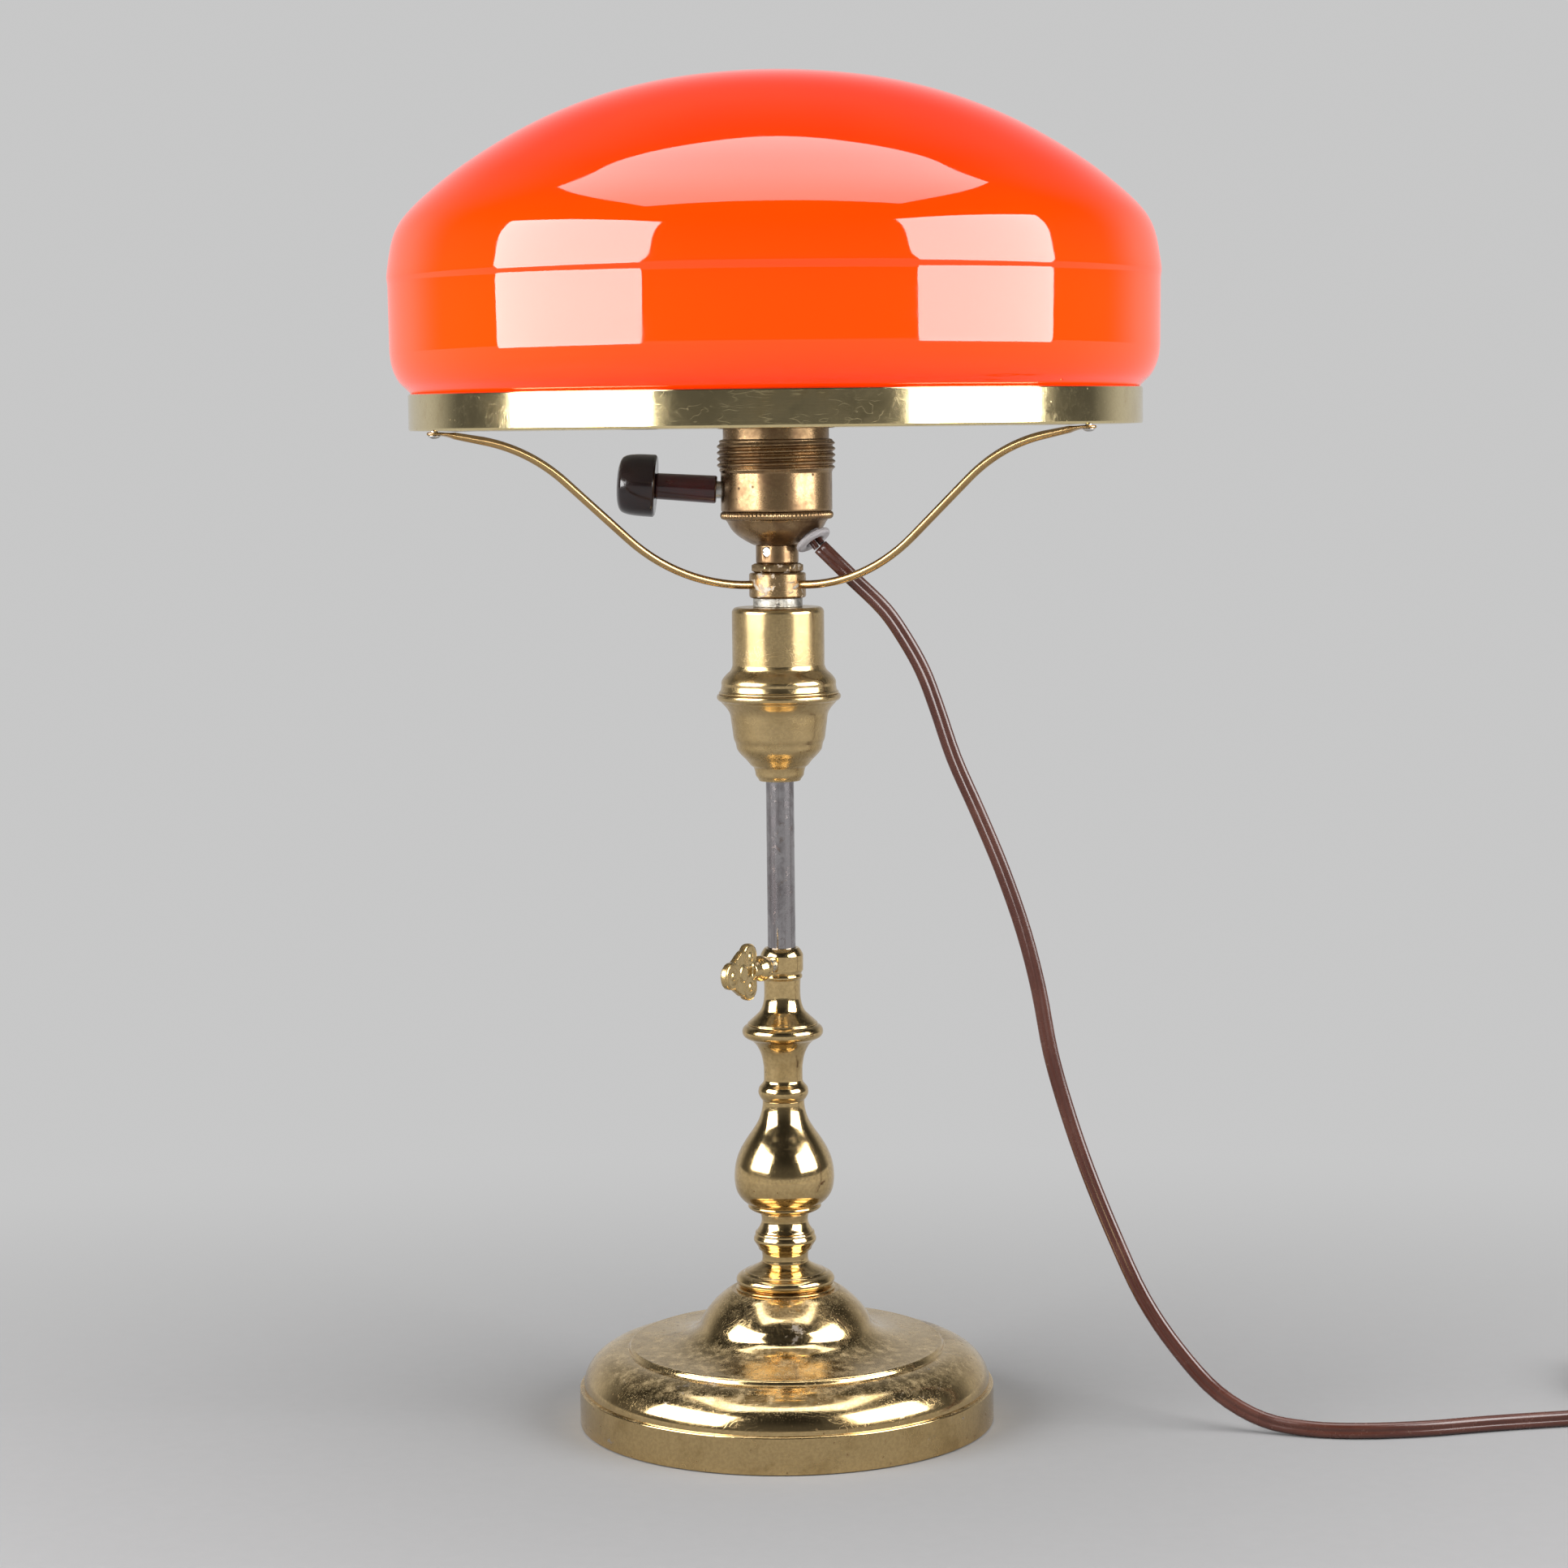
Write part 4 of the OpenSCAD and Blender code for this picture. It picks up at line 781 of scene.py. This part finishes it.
def arms():
    """Round wires whose ends are hammered flat under the ring. Millimetres until they are placed."""
    ring_low, ring_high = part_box("gallery_ring")
    hub_low, hub_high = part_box("carrier_hub")
    ring_r, ring_z = ring_high.x / MM, ring_low.z / MM
    arm_z = (hub_low.z + hub_high.z) / 2 / MM + 0.3
    end, below_ring = ring_r - 6, ring_z - 6.1
    low_x, high_x = ring_r * 0.288, ring_r * 0.722
    climb = math.atan2(below_ring - arm_z, ring_r * (0.722 - 0.288))
    first = min(ring_r * 0.55, (low_x - hub_high.x / MM - 0.5) / math.tan(climb / 2))
    line = wire_points([(7, arm_z), (low_x, arm_z), (high_x, below_ring), (end - 4, ring_z - 1.55)],
                       [0, first, ring_r * 0.49, 0])
    size = [(1.4, 1.4)] * len(line)
    # The hammered end: distance from end, height from the ring, half width, half thickness
    for x, z, w, t in ((-2.5, -1.35, 1.7, 1.15), (-1, -1.1, 2.15, 0.85), (0.8, -0.85, 2.5, 0.66),
                       (2.8, -0.66, 2.62, 0.6), (4.4, -0.62, 2.6, 0.58), (5.5, -0.62, 2.28, 0.58),
                       (6.3, -0.62, 1.72, 0.56), (6.8, -0.62, 0.95, 0.5), (6.95, -0.62, 0.3, 0.3)):
        line.append(Vector((end + x, ring_z + z)))
        size.append((w, t))
    for node, azimuth in ARM_AZIMUTHS.items():
        rings = []
        for i, (p, (w, t)) in enumerate(zip(line, size)):
            d = (line[min(i + 1, len(line) - 1)] - line[max(i - 1, 0)]).normalized()
            rings.append([Vector((p.x - t * math.sin(a) * d.y, w * math.cos(a), p.y + t * math.sin(a) * d.x))
                          * MM for a in angles_round(18)])
        arm = mesh_object(node + "_wire", *loft(rings), M["wire_brass"], weighted=False)
        arm.data.transform(Matrix.Rotation(math.radians(azimuth), 4, "Z"))
        settle(arm, "head", "wire_brass", node)
    arm_screws(end + 4.5, ring_z - 1.2)


def arm_screws(x, z, slot_half_width=0.25):
    """A round-headed slotted screw through the end of each arm, its head down. Millimetres."""
    dome = [(0, z - 1), (0.6, z - 0.97), (1.2, z - 0.82), (1.7, z - 0.5), (2.0, z - 0.12), (2.0, z),
            (1.15, z), (1.15, z + 2.2), (1.0, z + 2.4), (0, z + 2.4)]
    corners = ((-3, -slot_half_width), (3, -slot_half_width), (3, slot_half_width), (-3, slot_half_width))
    lower = [Vector((along, across, z - 1.5)) * MM for along, across in corners]
    upper = [p + Vector((0, 0, 1.0)) * MM for p in lower]
    for k, azimuth in enumerate(ARM_AZIMUTHS.values()):
        screw = lathe(f"arm_screw_{k}", [Vector(p) * MM for p in dome], 28, M["fastener_steel"])
        cut(screw, *loft([lower, upper]))
        screw.data.transform(Matrix.Rotation(math.radians(azimuth), 4, "Z")
                             @ Matrix.Translation((x * MM, 0, 0)) @ Matrix.Rotation(0.7 + k, 4, "Z"))
        settle(screw, "head", "fastener_steel")
    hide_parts("arm_rivets")


def softened(node, name, voxel, rounds, body, slot, change=None):
    """A cast or moulded piece: the CAD node's shape with its edges rounded over."""
    me = NODES[node].data.copy()
    o = bpy.data.objects.new(name, me)
    bpy.context.scene.collection.objects.link(o)
    me.materials.clear()
    smoothing = {"iterations": rounds, "use_only_smooth": True, "factor": 0.5}
    for kind, settings in (("WELD", {"merge_threshold": 2e-6}),
                           ("REMESH", {"mode": "VOXEL", "voxel_size": voxel}),
                           ("CORRECTIVE_SMOOTH", smoothing)):
        m = o.modifiers.new(kind.lower(), kind)
        for k, v in settings.items():
            setattr(m, k, v)
    made = bpy.data.meshes.new_from_object(o.evaluated_get(bpy.context.evaluated_depsgraph_get()))
    o.modifiers.clear()
    o.data = made
    if change:
        for v in made.vertices:
            v.co = change(v.co)
    made.shade_smooth()
    made.materials.clear()
    made.materials.append(M[slot])
    return settle(o, body, slot, node)


def plug():
    """The moulded plug with a ribbed grip, and its strain relief."""
    low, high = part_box("plug_body")
    mid = (low + high) / 2

    def gripped(co):
        side, along = co.x - mid.x, (co.y - low.y) / (high.y - low.y)
        if 0.22 < along < 0.62 and abs(side) > 0.004 and abs(co.z - mid.z) < 0.0062:
            rib = 0.5 - 0.5 * math.cos((along - 0.22) / 0.4 * 6 * 2 * math.pi)
            co.x -= math.copysign(0.0005, side) * rib
        return co
    body = softened("plug_body", "plug_moulded", 0.0005, 9, "base", "plug_pvc", gripped)
    rings = []
    inside = Vector(TAIL[-1]) + Vector((0, 3, 0))
    path = curve_through([Vector(p) * MM for p in TAIL[1:] + [inside]], 8)
    for i, p in enumerate(path):
        t = i / (len(path) - 1)
        rib = 0.45 * MM if (i // 2) % 2 and 0.08 < t < 0.9 else 0
        w, h = (2.0 + 2.3 * t) * MM - rib, (3.05 + 2.5 * t) * MM - rib
        rings.append([p + Vector((w * math.copysign(abs(math.cos(a)) ** 0.75, math.cos(a)), 0,
                                  h * math.copysign(abs(math.sin(a)) ** 0.75, math.sin(a))))
                      for a in angles_round(28, 0.5)])
    relief = mesh_object("plug_strain_relief", *loft(rings), M["plug_pvc"])
    return body, settle(relief, "base", "plug_pvc")


# The frames that the switch and the gland were turned in
shell_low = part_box("socket_shell")[0]
SWITCH = (Matrix.Translation((0, 0, shell_low.z + 0.0059)) @ Matrix.Rotation(math.radians(-2), 4, "Z")
          @ Matrix.Rotation(math.radians(-86), 4, "Y"))
cap_low, cap_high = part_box("socket_cap")
GLAND = (Matrix.Rotation(math.radians(GLAND_AZIMUTH), 4, "Z")
         @ Matrix.Translation((0.013, 0, cap_low.z + 0.0031)) @ Matrix.Rotation(math.radians(144), 4, "Y"))
threaded_shell()
socket_cap()
milled_rim()
lock_nut()
arms()
turned("knob_stem", "knob", "stem_bakelite", 56, 0.0003, SWITCH)
turned("knob_cap", "knob", "knob_bakelite", 80, 0.0004, SWITCH)
gland = turned("cord_gland", "head", "gland_plastic", 56, 0.0006, GLAND)
softened("thumb_key", "thumb_key_cast", 0.00025, 12, "key", "cast_brass")
give_material("clamp_screw", "fastener_steel")
plug_piece, relief_piece = plug()


def drill_in(piece, azimuth, near, far, z, r):
    """Drills a level hole into a piece from that side, between two distances from the axis."""
    side = Matrix.Rotation(math.radians(azimuth), 4, "Z")
    cut(piece, *drill(side @ Vector((near, 0, z)), side @ Vector((far, 0, z)), r))


drill_in(neck, GRUB_AZIMUTH, 0.005, 0.009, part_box("socket_neck")[0].z + 0.004, 0.00155)
drill_in(clamp, KEY_AZIMUTH, 0.0071, 0.012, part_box("clamp_head")[1].z - 0.0053, 0.0031)

cord.data.materials.append(M["cord_pvc"])


# ---------------------------------------------------------------- floor, light
def studio():
    s = Shader("floor_paper")
    s.tree.nodes.remove(s.base)
    out = next(n for n in s.tree.nodes if n.type == "OUTPUT_MATERIAL")
    length = s.node("ShaderNodeVectorMath", operation="LENGTH")
    s.put(s.place(scale=(1, 1.5, 1), shift=(0, 0.25, 0)), length.inputs[0])
    away = s.span(length.outputs["Value"], 0.28, 0.95)
    matt = s.node("ShaderNodeBsdfDiffuse")
    s.put(s.mix(s.noise(160, 3, 0.6), (0.205, 0.204, 0.205), (0.216, 0.215, 0.216)), matt.inputs["Color"])
    glow = s.node("ShaderNodeEmission")
    glow.inputs["Color"].default_value = (1, 1, 1, 1)
    glow.inputs["Strength"].default_value = BACKGROUND_GREY
    both = s.node("ShaderNodeMixShader")
    s.put(away, both.inputs[0])
    s.put(matt.outputs[0], both.inputs[1])
    s.put(glow.outputs[0], both.inputs[2])
    s.put(both.outputs[0], out.inputs["Surface"])
    floor = mesh_object("floor", [(x, y, -0.0002) for x, y in ((-9, -9), (9, -9), (9, 9), (-9, 9))],
                        [(0, 1, 2, 3)], s.material, weighted=False)

    world = bpy.data.worlds.new("studio")
    bpy.context.scene.world = world
    world.use_nodes = True
    t = world.node_tree
    t.nodes.clear()
    link = t.links.new
    where, split = t.nodes.new("ShaderNodeTexCoord"), t.nodes.new("ShaderNodeSeparateXYZ")
    link(where.outputs["Generated"], split.inputs[0])
    backdrop, lower = t.nodes.new("ShaderNodeMapRange"), t.nodes.new("ShaderNodeMapRange")
    for n, axis, limits in ((backdrop, "Y", (0.38, 0.74, 0.10, 0.56)), (lower, "Z", (0.15, 0.60, 1.0, 0.30))):
        n.interpolation_type = "SMOOTHSTEP"
        for socket, v in zip(("From Min", "From Max", "To Min", "To Max"), limits):
            n.inputs[socket].default_value = v
        link(split.outputs[axis], n.inputs["Value"])
    strength = t.nodes.new("ShaderNodeMath")
    strength.operation = "MULTIPLY"
    link(backdrop.outputs["Result"], strength.inputs[0])
    link(lower.outputs["Result"], strength.inputs[1])
    room, seen = t.nodes.new("ShaderNodeBackground"), t.nodes.new("ShaderNodeBackground")
    link(strength.outputs[0], room.inputs["Strength"])
    room.inputs["Color"].default_value = (1, 1, 1, 1)
    seen.inputs["Color"].default_value = (BACKGROUND_GREY, BACKGROUND_GREY, BACKGROUND_GREY, 1)
    path, both = t.nodes.new("ShaderNodeLightPath"), t.nodes.new("ShaderNodeMixShader")
    out = t.nodes.new("ShaderNodeOutputWorld")
    link(path.outputs["Is Camera Ray"], both.inputs[0])
    link(room.outputs[0], both.inputs[1])
    link(seen.outputs[0], both.inputs[2])
    link(both.outputs[0], out.inputs["Surface"])

    target = Vector((0, 0, 0.36))
    for name, at, wide, high, radiance in (
            ("softbox_left", (-0.955, -0.55, 0.64), 1.03, 0.78, 13.0),
            ("softbox_right", (0.975, -0.52, 0.64), 0.96, 0.78, 12.0),
            ("softbox_top", (0.0, -0.05, 2.02), 1.95, 1.55, 4.2)):
        data = bpy.data.lights.new(name, "AREA")
        data.shape, data.size, data.size_y = "RECTANGLE", wide, high
        data.energy = radiance * math.pi * wide * high
        o = bpy.data.objects.new(name, data)
        o.location = at
        q = (target - Vector(at)).to_track_quat("-Z", "Y")
        o.rotation_mode = "QUATERNION"
        o.rotation_quaternion = q if name != "softbox_top" else Vector((0, 0, -1)).to_track_quat("-Z", "Y")
        o.visible_camera = False
        bpy.context.scene.collection.objects.link(o)
    bpy.context.scene.view_settings.view_transform = "Standard"


studio()
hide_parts("cord", "cord_coil", "cord_tail")
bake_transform(cord)
